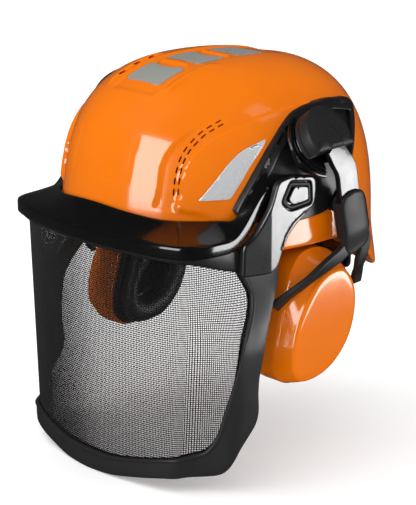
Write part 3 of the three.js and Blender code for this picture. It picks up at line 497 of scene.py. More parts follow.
def line_distance(y, z, line):
    """Distance from a line, positive on its right-hand side, and the share along it."""
    best = np.full(y.shape, 1e9)
    sign = np.ones(y.shape)
    end = np.zeros(y.shape)
    for k, (a, b) in enumerate(zip(line[:-1], line[1:])):
        span = b - a
        t = np.clip(((y - a[0]) * span[0] + (z - a[1]) * span[1]) / (span @ span), 0, 1)
        away = np.hypot(y - a[0] - t * span[0], z - a[1] - t * span[1])
        near = away < best
        best = np.where(near, away, best)
        side = span[0] * (z - a[1]) - span[1] * (y - a[0])
        sign = np.where(near, np.where(side < 0, 1.0, -1.0), sign)
        end = np.where(near, (k + t) / (len(line) - 1), end)
    return best * sign, end


# ---------- shell surface

HALF_WIDTH, HALF_LENGTH, CENTRE_Y, WIDEST, RISE = 100.0, 115.5, 1.4, -26.0, 130.0
PLAN_POWER, RISE_POWER, WALL = 2.12, 3.0, 3.0
FRONT_RIM, SIDE_RIM, NAPE_RIM, FLARE = -4.0, -14.0, -60.0, 5.0


def level_scale(z, d=0.0):
    level = np.maximum(np.asarray(z, float) - WIDEST, 0) / (RISE + d)
    return np.maximum(0, 1 - level**RISE_POWER) ** (1 / RISE_POWER)


def plan_radius(angle, d=0.0):
    across = np.abs(np.cos(angle)) / (HALF_WIDTH + d)
    along = np.abs(np.sin(angle)) / (HALF_LENGTH + d)
    return (across**PLAN_POWER + along**PLAN_POWER) ** (-1 / PLAN_POWER)


def rim_height(y):
    return (SIDE_RIM + (FRONT_RIM - SIDE_RIM) * (1 - smooth_step(-105, -70, y))
            + (NAPE_RIM - SIDE_RIM) * smooth_step(42, 114, y))


def shell_top(x, y, d=0.0):
    share = ((np.abs(x) / (HALF_WIDTH + d)) ** PLAN_POWER
             + (np.abs(y - CENTRE_Y) / (HALF_LENGTH + d)) ** PLAN_POWER) ** (1 / PLAN_POWER)
    return WIDEST + (RISE + d) * np.maximum(0, 1 - share**RISE_POWER) ** (1 / RISE_POWER)


def shell_side(y, z, d=0.0):
    scale = level_scale(z, d)
    along = (np.abs(y - CENTRE_Y) / ((HALF_LENGTH + d) * scale)) ** PLAN_POWER
    return (HALF_WIDTH + d) * scale * np.maximum(1e-6, 1 - along) ** (1 / PLAN_POWER)


CREASE = curve([(-93, 14), (-90, 25), (-86, 42), (-80, 52), (-69, 61), (-55, 67), (-32, 73.5), (-10, 77),
                (12, 78), (32, 76), (56, 68)], 12)
PATCHES = {"front": (-69.0, -44.0), "middle": (-32.0, -7.0), "rear": (6.0, 30.0)}
RIB_X = 29.0
CHANNEL_HALF, CHANNEL_DEPTH, CHANNEL_SLOPE = 21.0, 1.6, 1.5
BARS_AT, BAR_HEIGHT, RIB_HEIGHT = (-38.0, -0.5), 1.5, 1.5
STEP_HEIGHT, GROOVE_DEPTH = 2.3, 1.1


def crown_relief(x, y):
    """Sunk channel along the crown with low bars between the patches, and a rib each side in front."""
    low, high = CHANNEL_HALF - CHANNEL_SLOPE, CHANNEL_HALF + CHANNEL_SLOPE
    depth = CHANNEL_DEPTH * (1 - smooth_step(low, high, np.abs(x)))
    depth = depth * smooth_step(-81.5, -76.5, y - 0.004 * x * x) * (1 - smooth_step(54, 66, y))
    bars = 0.0
    for middle in BARS_AT:
        arc = np.abs(y - middle + 0.006 * x * x) / (5.2 - 0.016 * x * x)
        bars = bars + BAR_HEIGHT * (1 - smooth_step(0.35, 1.0, arc)) * (1 - smooth_step(12, 15, np.abs(x)))
    rib = RIB_HEIGHT * (1 - smooth_step(0.5, 4.5, np.abs(np.abs(x) - RIB_X)))
    rib = rib * smooth_step(-76, -69, y) * (1 - smooth_step(-33, -22, y))
    return bars - depth + rib


def side_relief(y, z):
    """Step behind and below the side crease, with a groove for the vents in front of it."""
    away, end = line_distance(y, z, CREASE)
    fade = smooth_step(0.0, 0.05, end) * (1 - smooth_step(0.8, 1.0, end))
    step = STEP_HEIGHT * smooth_step(-0.4, 1.3, away) * (1 - smooth_step(5, 26, away))
    groove = GROOVE_DEPTH * smooth_step(-8.2, -7.0, away) * (1 - smooth_step(0.6, 1.6, away))
    groove = groove * smooth_step(0.0, 0.03, end) * (1 - smooth_step(0.36, 0.42, end))
    return step * fade - groove


def relief(p):
    """Height of the moulded detail above the plain dome."""
    x, y, z = p[..., 0], p[..., 1], p[..., 2]
    out = np.where(z > 45, crown_relief(x, y), 0.0)
    out = out + np.where(np.abs(x) > 35, side_relief(y, z), 0.0) * smooth_step(35, 50, np.abs(x))
    pad = np.minimum(30 - np.abs(x), 15 - np.abs(z - 46))
    front = (y < -80) & (np.abs(x) < 34)
    return out - np.where(front, 0.25 * smooth_step(-0.5, 0.5, pad), 0.0)


DOME_TURNS = 480


def dome(levels, d, detail):
    """Points of the shell surface, offset by d: one ring for each level from the crown to the rim."""
    share = np.sin(np.linspace(0, math.pi / 2, 4000))
    z = WIDEST + RISE * np.maximum(0, 1 - share**RISE_POWER) ** (1 / RISE_POWER)
    radius = share * 108
    along = np.concatenate([[0], np.cumsum(np.hypot(np.diff(radius), np.diff(z)))])
    angle = np.linspace(0, 2 * math.pi, DOME_TURNS, endpoint=False)
    rim = rim_height(CENTRE_Y + HALF_LENGTH * np.sin(angle))
    to_rim = np.where(rim > WIDEST, np.interp(-rim, -z, along), along[-1] + WIDEST - rim)
    at = np.linspace(0, 1, levels)[:, None] * to_rim
    at[0] = 0.15
    height = np.where(at < along[-1], np.interp(at, along, z), WIDEST - (at - along[-1]))
    scale = np.where(at < along[-1], np.interp(at, along, share), 1.0)
    height = np.where(height > WIDEST, WIDEST + (height - WIDEST) * (RISE + d) / RISE, height)
    lip = FLARE * smooth_step(12, 60, -height) * smooth_step(-SIDE_RIM, -NAPE_RIM, -rim)
    reach = plan_radius(angle, d) * scale + lip
    p = np.stack([reach * np.cos(angle), CENTRE_Y + reach * np.sin(angle), height], -1)
    if detail:
        up = np.gradient(p, axis=0)
        round_ = np.roll(p, -1, 1) - np.roll(p, 1, 1)
        n = np.cross(round_, up)
        n /= np.maximum(np.linalg.norm(n, axis=-1), 1e-9)[..., None]
        n *= np.sign(np.sum(n * (p - [0, CENTRE_Y, 0]), -1))[..., None]
        p = p + n * relief(p)[..., None]
    return p


VENT_LINE = curve([(62, -92, 30), (61, -89, 42), (61, -83, 54), (63, -71, 64), (66, -57, 70)], 30)
VENT_COUNT, VENT_ROWS, VENT_OUT = 9, (-1.5, 1.5), (0.6, -0.55, 0.45)
CROWN_VENTS_AT, CROWN_VENT_X = (-64.0, -51.0, -38.0), RIB_X - 2.6


def vent_cutters():
    cutters = []
    line = respace(VENT_LINE, VENT_COUNT)
    last = VENT_COUNT - 1
    for k in range(VENT_COUNT):
        place = placer(line[k], line[min(k + 1, last)] - line[max(k - 1, 0)], VENT_OUT)
        for row in VENT_ROWS:
            cutters.append(prism(round_rect(4.4, 1.1, 0.5, 3) + [0.0, row], place, -9, 9))
    for y in CROWN_VENTS_AT:
        start = (CROWN_VENT_X, y, shell_top(CROWN_VENT_X, y) + 0.5)
        place = placer(start, (0, 1, 0.25), (-0.8, 0, 0.6))
        cutters.append(prism(round_rect(5.4, 1.5, 0.6, 3), place, -7, 1.5))
    return join(*cutters, *[(v * [-1, 1, 1], f) for v, f in cutters])


def outer_shell():
    outer, inner = dome(190, 0.0, True), dome(50, -WALL, False)[::-1]
    middle, half = (outer[-1] + inner[0]) / 2, (outer[-1] - inner[0]) / 2
    bead = [middle + half * math.cos(t) + np.array([0, 0, -1.7]) * math.sin(t)
            for t in np.linspace(0, math.pi, 7)[1:-1]]
    skin = sweep(np.concatenate([outer, np.array(bead), inner]))
    piece = build("shell_skin", skin, ORANGE, "shell", ["outer_shell"], sharp=50)
    cut(piece, vent_cutters())


outer_shell()

# ---------- films on the shell


def crown_place(x, y, d):
    return np.column_stack([x, y, shell_top(x, y, d + crown_relief(x, y) * np.ones_like(x))])


PATCH_HALF, PATCH_CORNER = 18.0, 3.2
for patch_name, (start, stop) in PATCHES.items():
    w, c = PATCH_HALF, PATCH_CORNER
    outline = [(-w, start + c), (-w + c, start), (w - c, start), (w, start + c), (w, stop - c),
               (w - c, stop)]
    if patch_name != "rear":
        outline += [(12.5, stop), (9.5, stop - 3), (0, stop - 4.2), (-9.5, stop - 3), (-12.5, stop)]
    outline += [(-w + c, stop), (-w, stop - c)]
    outline = dense(rounded(outline, 1.2, 4), 2)
    made = slab(outline, [], edge_levels(0.12, 0.55, 0.2), crown_place, 1.5)
    build(f"crown_film_{patch_name}", made, FOIL_GREY, "shell", [f"crown_patch_{patch_name}"])


def side_place(y, z, d):
    return np.column_stack([shell_side(y, z, d), y, z])


def on_relief(y, z, d):
    return np.column_stack([shell_side(y, z, d + side_relief(y, z)), y, z])


REFLECTOR = [(-33, 61, 4), (-52, 54.5, 5), (-60, 48, 6), (-82, 23, 1.5), (-63, 23, 2), (-50, 41, 2)]
film = slab(dense(rounded(REFLECTOR, 2, 6), 2), [], edge_levels(0.12, 0.6, 0.25), on_relief, 1.6)
pair("side_film", film, FOIL_SILVER, "shell", "side_reflector_{s}")

# ---------- side plate

PLATE = [(60, 71, 3), (57, 75, 3), (30, 78.5, 8), (6, 78, 10), (-10, 74.5, 10), (-21, 67.5, 10),
         (-32, 57, 8), (-46, 41, 8), (-58, 24, 8), (-63, 15, 3), (-48, 6, 6), (-20, 3, 6), (12, 6, 8),
         (30, 22, 8), (48, 52, 6)]
BAND_INNER = [(-54, 16, 6), (-44.5, 29, 6), (-31, 48, 8), (-18, 60.5, 8), (-8, 67, 8), (6, 71, 8),
              (30, 72, 6), (51, 67.5, 2), (44, 52, 4), (29, 26, 6)]


def side_plate():
    """Flat floor against the shell, with a raised band round its upper edge."""
    floor = slab(dense(rounded(PLATE, 4, 6), 3), [], edge_levels(0.4, 1.9, 0.6), side_place, 3.0)
    ring = [(12, 6, 1), *PLATE[13:], *PLATE[:10], (-57, 9.5, 1), *BAND_INNER, (17, 13, 1)]
    return join(floor, slab(dense(rounded(ring, 1, 6), 2), [], edge_levels(1.0, 5.0, 1.3), side_place, 2.2))


pair("side_housing", side_plate(), SATIN_BLACK, "shell", "side_plate_{s}")

# ---------- muff pivot

DISC_BASE = np.array([97.6, -0.6, 52.5])
DISC_AXIS = unit((0.83, 0.12, 0.55))
DISC = placer(DISC_BASE, (0, 0, -1), DISC_AXIS)
CAP_R, MOUTH = 21.5, 9.5


boss = lathe([(4.7, -11), (16.0, -11), (16.0, -1.2), (15.5, -0.6), (4.7, -0.6)], DISC, 72)
pair("pivot_boss", boss, SATIN_BLACK, "shell", None)
RINGS = [(4.7, 0.0), (23.4, 0.0), (23.9, 0.5), (23.9, 2.2), (23.4, 2.7), (22.6, 2.8), (22.4, 2.4),
         (21.9, 2.4), (21.7, 2.8), (21.7, 3.6), (21.3, 4.1), (20.4, 4.2), (20.2, 3.8), (19.8, 3.8),
         (19.6, 4.2), (19.4, 4.8), (18.9, 5.0), (4.7, 5.0)]
ARM_ROOM = np.array([(15, -4), (30, -4), (30, 26), (15, 26)], float)
room_verts, room_faces = prism(ARM_ROOM, DISC, -1.0, 6.0)
bases = pair("pivot_ring", lathe(RINGS, DISC, 120), GLOSS_BLACK, "shell", "muff_pivot_base_{s}")
for base, sign in zip(bases, (1, -1)):
    cut(base, (room_verts * [sign, 1, 1], room_faces))


def horseshoe(radius, mouth):
    half = math.sqrt(radius**2 - mouth**2)
    start, end = math.atan2(half, mouth), math.atan2(-half, mouth) + 2 * math.pi
    arc = [(radius * math.cos(t), radius * math.sin(t)) for t in np.linspace(start, end, 90)]
    bottom = [(mouth, y) for y in np.linspace(-half, half, 30)[1:-1]]
    return np.array(arc + bottom)


TONGUE = [(MOUTH - 1.2, -6.8, 0.8), (MOUTH - 1.2, 6.8, 0.8), (-1.0, 6.8, 6.5), (-6.5, 0.0, 6.5),
          (-1.0, -6.8, 6.5)]


def pivot_cap():
    """Horseshoe housing with a raised tongue over the arm."""
    shape = horseshoe(CAP_R, MOUTH)
    tongue = dense(rounded(TONGUE, 2, 8), 1.5)
    return join(
        slab(shape, [], [(0.5, 5.5), (0.1, 5.9), (0.1, 8.7), (0.9, 9.0), (0.9, 9.4)], DISC, 2.4),
        slab(shape, [], [(0.4, 9.2), (0.0, 9.6), (0.0, 16.6), (0.35, 17.3), (1.2, 18.0), (2.6, 18.7),
                         (4.6, 19.2), (6.0, 19.4)], DISC, 1.6),
        slab(tongue, [], [(-0.6, 18.4), (-0.4, 19.3), (0.3, 19.5), (0.7, 19.95), (1.5, 20.1)], DISC, 1.2))


pair("pivot_housing", pivot_cap(), MATT_BLACK, "muff_swivel_{s}", "muff_pivot_cap_{s}")

# ---------- muff arm and sleeve

ARM_TOP = np.array([114.6, 16.3, 22.6])
ARM_DOWN = unit((0, 10, -46))
SLEEVE = placer(ARM_TOP, ARM_DOWN, (1, 0, 0))


def muff_arm():
    """Flat bar that turns from the disc's axis to the sleeve's, with an eye on the flare pin."""
    start = DISC(6.8, 0, 14.8)[0]
    knee = ARM_TOP - ARM_DOWN * 15
    path = curve([start, (start + knee) / 2, knee, ARM_TOP], 14)
    path = np.vstack([path, ARM_TOP + ARM_DOWN * np.linspace(2, 30, 14)[:, None]])
    across, sideways = DISC.axes[1], SLEEVE.axes[1]
    section = round_rect(18, 4.6, 1.0, 4)
    rings = []
    for k, (at, tangent) in enumerate(zip(path, np.gradient(path, axis=0))):
        wide = unit(across + (sideways - across) * min(1, k / 28))
        along = unit(tangent)
        wide = unit(wide - along * (wide @ along))
        rings.append(at + section[:, :1] * wide + section[:, 1:] * np.cross(wide, along))
    eye = [(0.1, -9), (2.0, -9), (2.3, -8.6), (2.3, 8.6), (2.0, 9), (0.1, 9)]
    return join(sweep(rings), lathe(eye, placer(start, DISC_AXIS, across), 32))


pair("muff_bar", muff_arm(), ARM_BLACK, "muff_arm_{s}", "muff_arm_{s}")


def strip(stations, thick=4.4, radius=1.3):
    """Fork branch: a bevelled flat strip; stations are (x, y, z, width, lean in degrees)."""
    s = np.array(stations, float)
    path = curve(s[:, :3], 12)
    rings = []
    for at, along, (width, lean) in zip(path, np.gradient(path, axis=0), curve(s[:, 3:], 12)):
        along = unit(along)
        turn = Matrix.Rotation(math.radians(-lean), 3, Vector(along))
        wide = np.array(turn @ Vector(unit(np.cross((1, 0, 0), along))))
        section = round_rect(width, thick, radius, 4)
        rings.append(at + section[:, :1] * wide + section[:, 1:] * np.cross(along, wide))
    return sweep(rings)


SLEEVE_HALF, SLEEVE_LENGTH = 12.0, 34.0


def muff_sleeve():
    """Sleeve round the arm, open at the sides' middle, whose face runs down into the fork."""
    w, length = SLEEVE_HALF, SLEEVE_LENGTH
    back = [(length, -w, 2.5), (length, w, 2.5), (9, w, 4), (2.4, 9.5, 6), (0, 0, 8), (2.4, -9.5, 6),
            (9, -w, 4)]
    face = [(46.5, -9, 6), (44, 9, 6), (41, 13, 3), (32, w, 6), *back[2:], (32, -w, 6), (41, -13, 4)]
    back, face = (dense(rounded(o, 3, 8), 2) for o in (back, face))

    def flush(a, b, c):
        """Face that is crowned across, and sinks towards the fork below the arm."""
        low = smooth_step(length - 6, length + 10, a)
        return SLEEVE(a, b, np.where(c > 4, c - 0.009 * b * b - 2.6 * low, c - 4.4 * low))

    def at(down, across, out):
        return list(SLEEVE(down, across, out)[0])
    outer = slab(face, [], [(0.4, 2.7), (0, 3.2), (0, 3.8), (0.35, 4.6), (1.1, 5.2), (2.0, 5.4)], flush, 1.6)
    inner = slab(back, [], [(0.6, -5.0), (0.0, -4.4), (0.0, -2.8), (0.3, -2.6)], SLEEVE, 3.0)
    rail = round_rect(2.3, 6.2, 0.5, 3)
    sides = [sweep([SLEEVE(a, rail[:, 0] + b, rail[:, 1]) for a in np.linspace(6, 33, 6)])
             for b in (-10.7, 10.7)]
    front = strip([at(length - 1, -7.5, 0) + [9, 0], at(length + 6, -10, -0.4) + [9.6, 0],
                   (114.5, -5, -28, 9.2, 15), (110.5, -18, -37, 8.6, 35), (104, -29, -46, 8.5, 30),
                   (100, -37.5, -53, 8.5, 10)])
    rear = strip([at(length - 1, 7.5, 0) + [9, 0], at(length + 6, 9.5, -0.4) + [9.6, 0],
                  (112, 32.5, -31, 9, 0), (105, 37.5, -41, 8.5, 0), (102.5, 38.5, -49, 8.5, 0)])
    return join(outer, inner, *sides, front, rear)


pair("muff_slider", muff_sleeve(), MATT_BLACK, "muff_sleeve_{s}", "muff_sleeve_{s}")

# ---------- ear muff

CUP_EDGE = [(4, -19), (19, -25), (30, -41), (32, -64), (25, -88), (8, -106), (-12, -112), (-27, -110),
            (-35, -101), (-35.5, -86), (-31, -66), (-24, -42), (-12, -22)]
CUP_FACE = [(8, -36), (19, -37), (27.5, -49), (28.5, -67), (21.5, -86), (6, -101), (-11, -106.5),
            (-23, -105.5), (-30, -97), (-30, -82), (-25, -65), (-15, -51), (-4, -42)]
EDGE, FACE = (curve(line, 12, closed=True) for line in (CUP_EDGE, CUP_FACE))
CUP_MIDDLE = np.array([-6.0, -62.0])


def cup_ring(x, loop, shrink=0.0):
    away = loop - CUP_MIDDLE
    length = np.linalg.norm(away, axis=1)[:, None]
    flat = CUP_MIDDLE + away / length * np.maximum(1.0, length - shrink)
    return np.column_stack([np.full(len(loop), float(x)), flat])


def cup_stack(levels):
    """Rings of the cup's outline, from (distance out, how far it is shrunk)."""
    return [cup_ring(x, EDGE, shrink) for x, shrink in levels]


def close_over(rings, shares, height):
    """Skin over rings, with the last one closed in by shares of its size, each at height(share)."""
    last = rings[-1]
    middle = last.mean(0)
    for t in shares:
        ring = middle + (last - middle) * t
        ring[:, 0] = height(t)
        rings.append(ring)
    return sweep(rings)


def ear_cup():
    rings = cup_stack([(96.0, 5), (78.2, 4.4), (77.6, 3.8), (77.6, 1.4), (77.9, 0.6), (78.6, 0.1), (79.6, 0),
                       (82.2, 0), (82.6, 0.5), (83.2, 0.6), (83.7, 0.1), (84.2, 0), (88, 0), (92, 0),
                       (95.5, 0), (97.6, 0)])
    for t in np.linspace(0, 1, 9)[1:]:
        x = 97.6 + 12.6 * t + 0.8 * math.sin(math.pi * t)
        rings.append(cup_ring(x, EDGE + (FACE - EDGE) * (0.06 + 0.74 * t)))
    for t in np.linspace(0, 1, 6)[1:] * math.pi / 2:
        rings.append(cup_ring(110.2 + 2.6 * math.sin(t), EDGE + (FACE - EDGE) * 0.8, 4.6 * (1 - math.cos(t))))
    return close_over(rings, (0.93, 0.8, 0.6, 0.4, 0.2, 0.04), lambda t: 112.8 + 0.2 * (1 - t * t))


def back_plate():
    return sweep(cup_stack([(77.1, 2.6), (76.6, 2.0), (75.2, 2.0), (74.7, 2.6), (74.7, 23.2), (75.2, 24),
                            (76.6, 24), (77.1, 23.2)]), closed=True)


def ear_foam():
    rings = cup_stack([(98.8, 11), (99.0, 10.4), (95, 9.6), (86, 9.2), (80.5, 9.6), (78.8, 10.6), (78.1, 13)])
    return close_over(rings, (0.85, 0.65, 0.45, 0.25, 0.06), lambda t: 78.1 + 2.2 * (1 - t))


pair("cup_shell", ear_cup(), ORANGE, "ear_muff_{s}", "ear_cup_{s}", sharp=50)
pair("cup_liner_plate", back_plate(), SATIN_BLACK, "ear_muff_{s}", "cup_back_plate_{s}")
pair("acoustic_foam", ear_foam(), FOAM, "ear_muff_{s}", "ear_foam_{s}")

PUFF_VOXEL, PUFF_PRESSURE, PUFF_FRAMES, PUFF_CAP = 0.0045, 4.0, 20, 0.0012


def puff(piece):
    """Swells a soft piece with a short cloth run, capped, and applied to its mesh."""
    remesh = piece.modifiers.new("remesh", "REMESH")
    remesh.mode = "VOXEL"
    remesh.voxel_size = PUFF_VOXEL
    bake(piece)
    rest = np.array([v.co for v in piece.data.vertices])
    cloth = piece.modifiers.new("cloth", "CLOTH")
    cloth.settings.use_pressure = True
    cloth.settings.uniform_pressure_force = PUFF_PRESSURE
    cloth.settings.effector_weights.gravity = 0
    cloth.settings.quality = 5
    cloth.point_cache.frame_end = PUFF_FRAMES
    scene = bpy.context.scene
    for number in range(1, PUFF_FRAMES + 1):
        scene.frame_set(number)
    graph = bpy.context.evaluated_depsgraph_get()
    step = np.array([v.co for v in piece.evaluated_get(graph).data.vertices]) - rest
    piece.modifiers.clear()
    scene.frame_set(1)
    length = np.linalg.norm(step, axis=1)[:, None]
    final = rest + step * np.minimum(1, PUFF_CAP / np.maximum(length, 1e-9))
    piece.data.vertices.foreach_set("co", final.astype(np.float32).ravel())
    piece.data.update()
    soft = piece.modifiers.new("subdivide", "SUBSURF")
    soft.levels = soft.render_levels = 1
    bake(piece)
    piece.data.shade_smooth()


def ear_cushion():
    """Padded ring that seals against the head."""
    rings = []
    for k in range(28):
        t = 2 * math.pi * k / 28
        c, s = math.cos(t), math.sin(t)
        x = 66.2 + 7.3 * np.sign(c) * abs(c) ** 0.75
        shrink = 13.2 + 9.2 * np.sign(s) * abs(s) ** 0.85
        rings.append(cup_ring(x, EDGE, shrink))
    return sweep(rings, closed=True)


cushions = pair("ear_pad", ear_cushion(), LEATHER, "ear_muff_{s}", "ear_cushion_{s}")
puff(cushions[0])
mirrored = cushions[0].data.copy()
mirrored.transform(Matrix.Scale(-1, 4, (1, 0, 0)))
mirrored.flip_normals()
cushions[1].data = mirrored


def pad_welt():
    """Stitched piping where the cushion meets the cup."""
    turns = 2 * math.pi * np.arange(10) / 10
    rings = [cup_ring(73.9 + 0.8 * math.cos(t), EDGE, 4.2 + 0.8 * math.sin(t)) for t in turns]
    return sweep(rings, closed=True)


pair("ear_pad_piping", pad_welt(), LEATHER, "ear_muff_{s}", None)

# ---------- peak and visor

PLAN = [(0, -127), (45, -123.5), (78, -116.5), (91.5, -109), (97, -96), (98.4, -70), (99.8, -38), (99.8, -8)]
PLAN_CURVE = curve([(-x, y) for x, y in PLAN[:0:-1]] + PLAN, 60)
PLAN_RUN = np.concatenate([[0], np.cumsum(np.linalg.norm(np.diff(PLAN_CURVE, axis=0), axis=1))])
PLAN_RUN -= PLAN_RUN[-1] / 2
PLAN_DIR = np.gradient(PLAN_CURVE, axis=0)
PLAN_DIR /= np.linalg.norm(PLAN_DIR, axis=1)[:, None]


SPREAD_OUT, SPREAD_FORWARD, FACE_DEPTH = 20.8, 18.7, 5.0


def along_plan(s, table):
    return [np.interp(s, PLAN_RUN, table[:, k]) for k in (0, 1)]


def visor_wall(s, z):
    """Plan of the visor at a height: its wings stand wider and further forward low down."""
    x, y = along_plan(s, PLAN_CURVE)
    spread = smooth_step(100, 150, np.abs(s)) * smooth_step(10, 80, -z)
    return x * (1 + 0.0006 * np.minimum(0, z)) + np.sign(s) * SPREAD_OUT * spread, y - SPREAD_FORWARD * spread


def visor_point(s, z, d):
    """Point of the visor from length along its plan, height, and distance out from its face."""
    s, z, d = np.broadcast_arrays(*(np.asarray(k, float) for k in (s, z, d)))
    (ax, ay), (bx, by) = visor_wall(s - 1, z), visor_wall(s + 1, z)
    tx, ty = bx - ax, by - ay
    size = np.hypot(tx, ty)
    tx, ty = tx / size, ty / size
    x, y = visor_wall(s, z)
    depth = FACE_DEPTH - d
    return np.column_stack([x - ty * depth, y + tx * depth, z])


LIP, EDGE_THICK, SKIN = 1.3, 3.0, 2.5


def brim():
    """Peak: a deep outer edge and a thin skin that rises to the shell, swept along the plan."""
    s = np.linspace(-162, 162, 260)
    x, y = along_plan(s, PLAN_CURVE)
    tx, ty = along_plan(s, PLAN_DIR)
    tx, ty = tx / np.hypot(tx, ty), ty / np.hypot(tx, ty)
    lift = 31 * smooth_step(-80, -42, y) ** 1.3
    rise = 16 + (10 - 16) * smooth_step(0, 80, np.abs(x)) + lift
    room = 1.6 + (7.2 - 1.6) * smooth_step(-84, -70, y)
    angle = np.arctan2(y - CENTRE_Y, x)
    reach = plan_radius(angle, 0) * level_scale(rise, 0) + room
    ix, iy = reach * np.cos(angle), CENTRE_Y + reach * np.sin(angle)
    depth = (ix - x) * -ty + (iy - y) * tx
    push = np.maximum(0, EDGE_THICK - depth)
    ix, iy = ix - ty * push, iy + tx * push
    depth = np.maximum(depth, EDGE_THICK)
    low = -9 + 0.8 * lift

    def rim(d, z):
        return [x - ty * d, y + tx * d, z]

    def top(t, down=0.0):
        d = LIP + (depth - LIP) * t
        px = x - ty * d + (ix - (x - ty * depth)) * t
        py = y + tx * d + (iy - (y + tx * depth)) * t
        return [px, py, lift + (rise - lift) * (0.75 * t + 0.25 * t**3) - down]
    outer = [rim(0.5, low), rim(0.1, low + 0.3), rim(0, low + 0.9), rim(0, lift - 4.4), rim(0, lift - 2.2),
             rim(0.12, lift - 1.2), rim(0.5, lift - 0.45), rim(LIP, lift)]
    over = [top(t) for t in (0.12, 0.25, 0.4, 0.55, 0.7, 0.82, 0.92, 0.97)]
    lip = [[ix, iy, rise - 0.5], [ix, iy, rise - 2.0]]
    under = [top(t, SKIN) for t in (0.95, 0.8, 0.55, 0.3, 0.12)]
    inner = [rim(2.5, lift - 3.6), rim(2.5, low + 0.6), rim(2.0, low)]
    return sweep(np.array(outer + over + lip + under + inner).transpose(2, 0, 1))


build("peak", brim(), GLOSS_BLACK, "visor", ["brim"], sharp=60)


def carrier():
    """Bar under the peak that the visor hangs from; it deepens towards the temples."""
    rings = []
    for s in np.linspace(-150, 150, 240):
        low = float(-12.5 - 11.5 * smooth_step(90, 146, np.abs(s)))
        section = [(2.0, -9.6), (2.0, low + 1.4), (1.6, low + 0.5), (0.8, low), (-1.4, low),
                   (-2.0, low + 0.6), (-2.0, -9.6)]
        d, z = np.array(section).T
        rings.append(visor_point(s, z, d))
    return sweep(rings)


build("visor_rail", carrier(), SATIN_BLACK, "visor", ["visor_carrier"], sharp=45)

TOP = -24.5
FRAME_OUTER = [(0, -176.3), (28, -175), (55, -170.8), (80, -166.8), (100, -165.4), (114, -165), (129, -162),
               (142, -153), (156, -138), (163, -129), (165, -121), (164, -108), (164, -97), (166, -84),
               (169, -66), (175, -44), (178, -34), (177, TOP)]
FRAME_INNER = [(0, -161.5), (28, -161), (55, -157), (80, -152.6), (100, -150), (113, -146.5), (119, -140),
               (123, -133), (129, -115), (133, -105), (137, -96), (142, -84), (147, -72), (152, -58),
               (154, -48), (153, -40), (148, -33), (141, TOP)]
FRAME_SECTION = [(0.0, -1.7), (0.0, -0.6), (0.012, -0.2), (0.05, 0.0), (0.2, 0.2), (0.4, 0.3), (0.6, 0.3),
                 (0.84, 0.2), (0.87, 0.75), (0.90, 0.95), (0.94, 0.95), (0.975, 0.6), (1.0, -0.2),
                 (1.0, -1.9), (0.8, -1.9), (0.6, -1.9), (0.4, -1.9), (0.2, -1.9)]
CLAMP_SECTION = [(0.42, -4.2), (0.42, -5.1), (0.45, -5.4), (0.7, -5.4), (0.97, -5.4), (1.0, -5.1),
                 (1.0, -4.2), (0.7, -4.2)]


def frame_run(points, count):
    half = respace(curve(points, 8), count)
    return np.vstack([half[1:][::-1] * [-1, 1], half])


def frame_band(section, count):
    """U-shaped band; its section is (share from the outer edge to the inner one, distance out)."""
    share, out = np.array(section).T
    rings = []
    for a, b in zip(frame_run(FRAME_OUTER, count), frame_run(FRAME_INNER, count)):
        at = a + (b - a) * share[:, None]
        rings.append(visor_point(at[:, 0], at[:, 1], out))
    return sweep(rings)


rim, clamp = frame_band(FRAME_SECTION, 150), frame_band(CLAMP_SECTION, 90)
build("visor_rim", rim, VISOR_BLACK, "visor", ["visor_frame"], sharp=30)
build("screen_clamp", clamp, SATIN_BLACK, "visor", ["screen_retainer"])

PITCH, WIRE, WAVE, COLUMNS = 1.5, 0.31, 0.3, 104
SCREEN_DEPTH, SCREEN_TOP, SCREEN_LOW = 3.1, -11.0, -164.0
SCREEN_EDGE = [(62, -164.5), (88, -159), (106, -152.5), (117, -146.5), (126, -134), (133, -115), (144, -88),
               (151, -73), (156, -59), (157, -45), (150, -31), (147, -24), (146, SCREEN_TOP)]


def wires(level):
    """One family of the woven wires: the level ones, or else the upright ones."""
    heights = np.arange(SCREEN_LOW, SCREEN_TOP, PITCH)
    columns = np.arange(-COLUMNS, COLUMNS + 1) * PITCH
    limit = np.interp(heights, [z for _, z in SCREEN_EDGE], [half for half, _ in SCREEN_EDGE])
    made = []
    for i, fixed in enumerate(heights if level else columns):
        index = np.where(np.abs(columns) <= limit[i] if level else np.abs(fixed) <= limit)[0]
        if len(index) < 3:
            continue
        s, z = (columns[index], fixed) if level else (fixed, heights[index])
        wave = WAVE * np.where((index + i) % 2 == 0, 1.0, -1.0) * (1 if level else -1)
        ring = []
        for a, b in ((1, 0), (0, 1), (-1, 0), (0, -1)):
            shift = a * WIRE
            ring.append(visor_point(s + (0 if level else shift), z + (shift if level else 0),
                                    wave + b * WIRE - SCREEN_DEPTH))
        made.append(sweep(np.stack(ring, 1)))
    return join(*made)


build("screen_weft", wires(True), MESH_NYLON, "visor", ["mesh_screen"], sharp=80)
build("screen_warp", wires(False), MESH_NYLON, "visor", None, sharp=80)

# ---------- visor arms

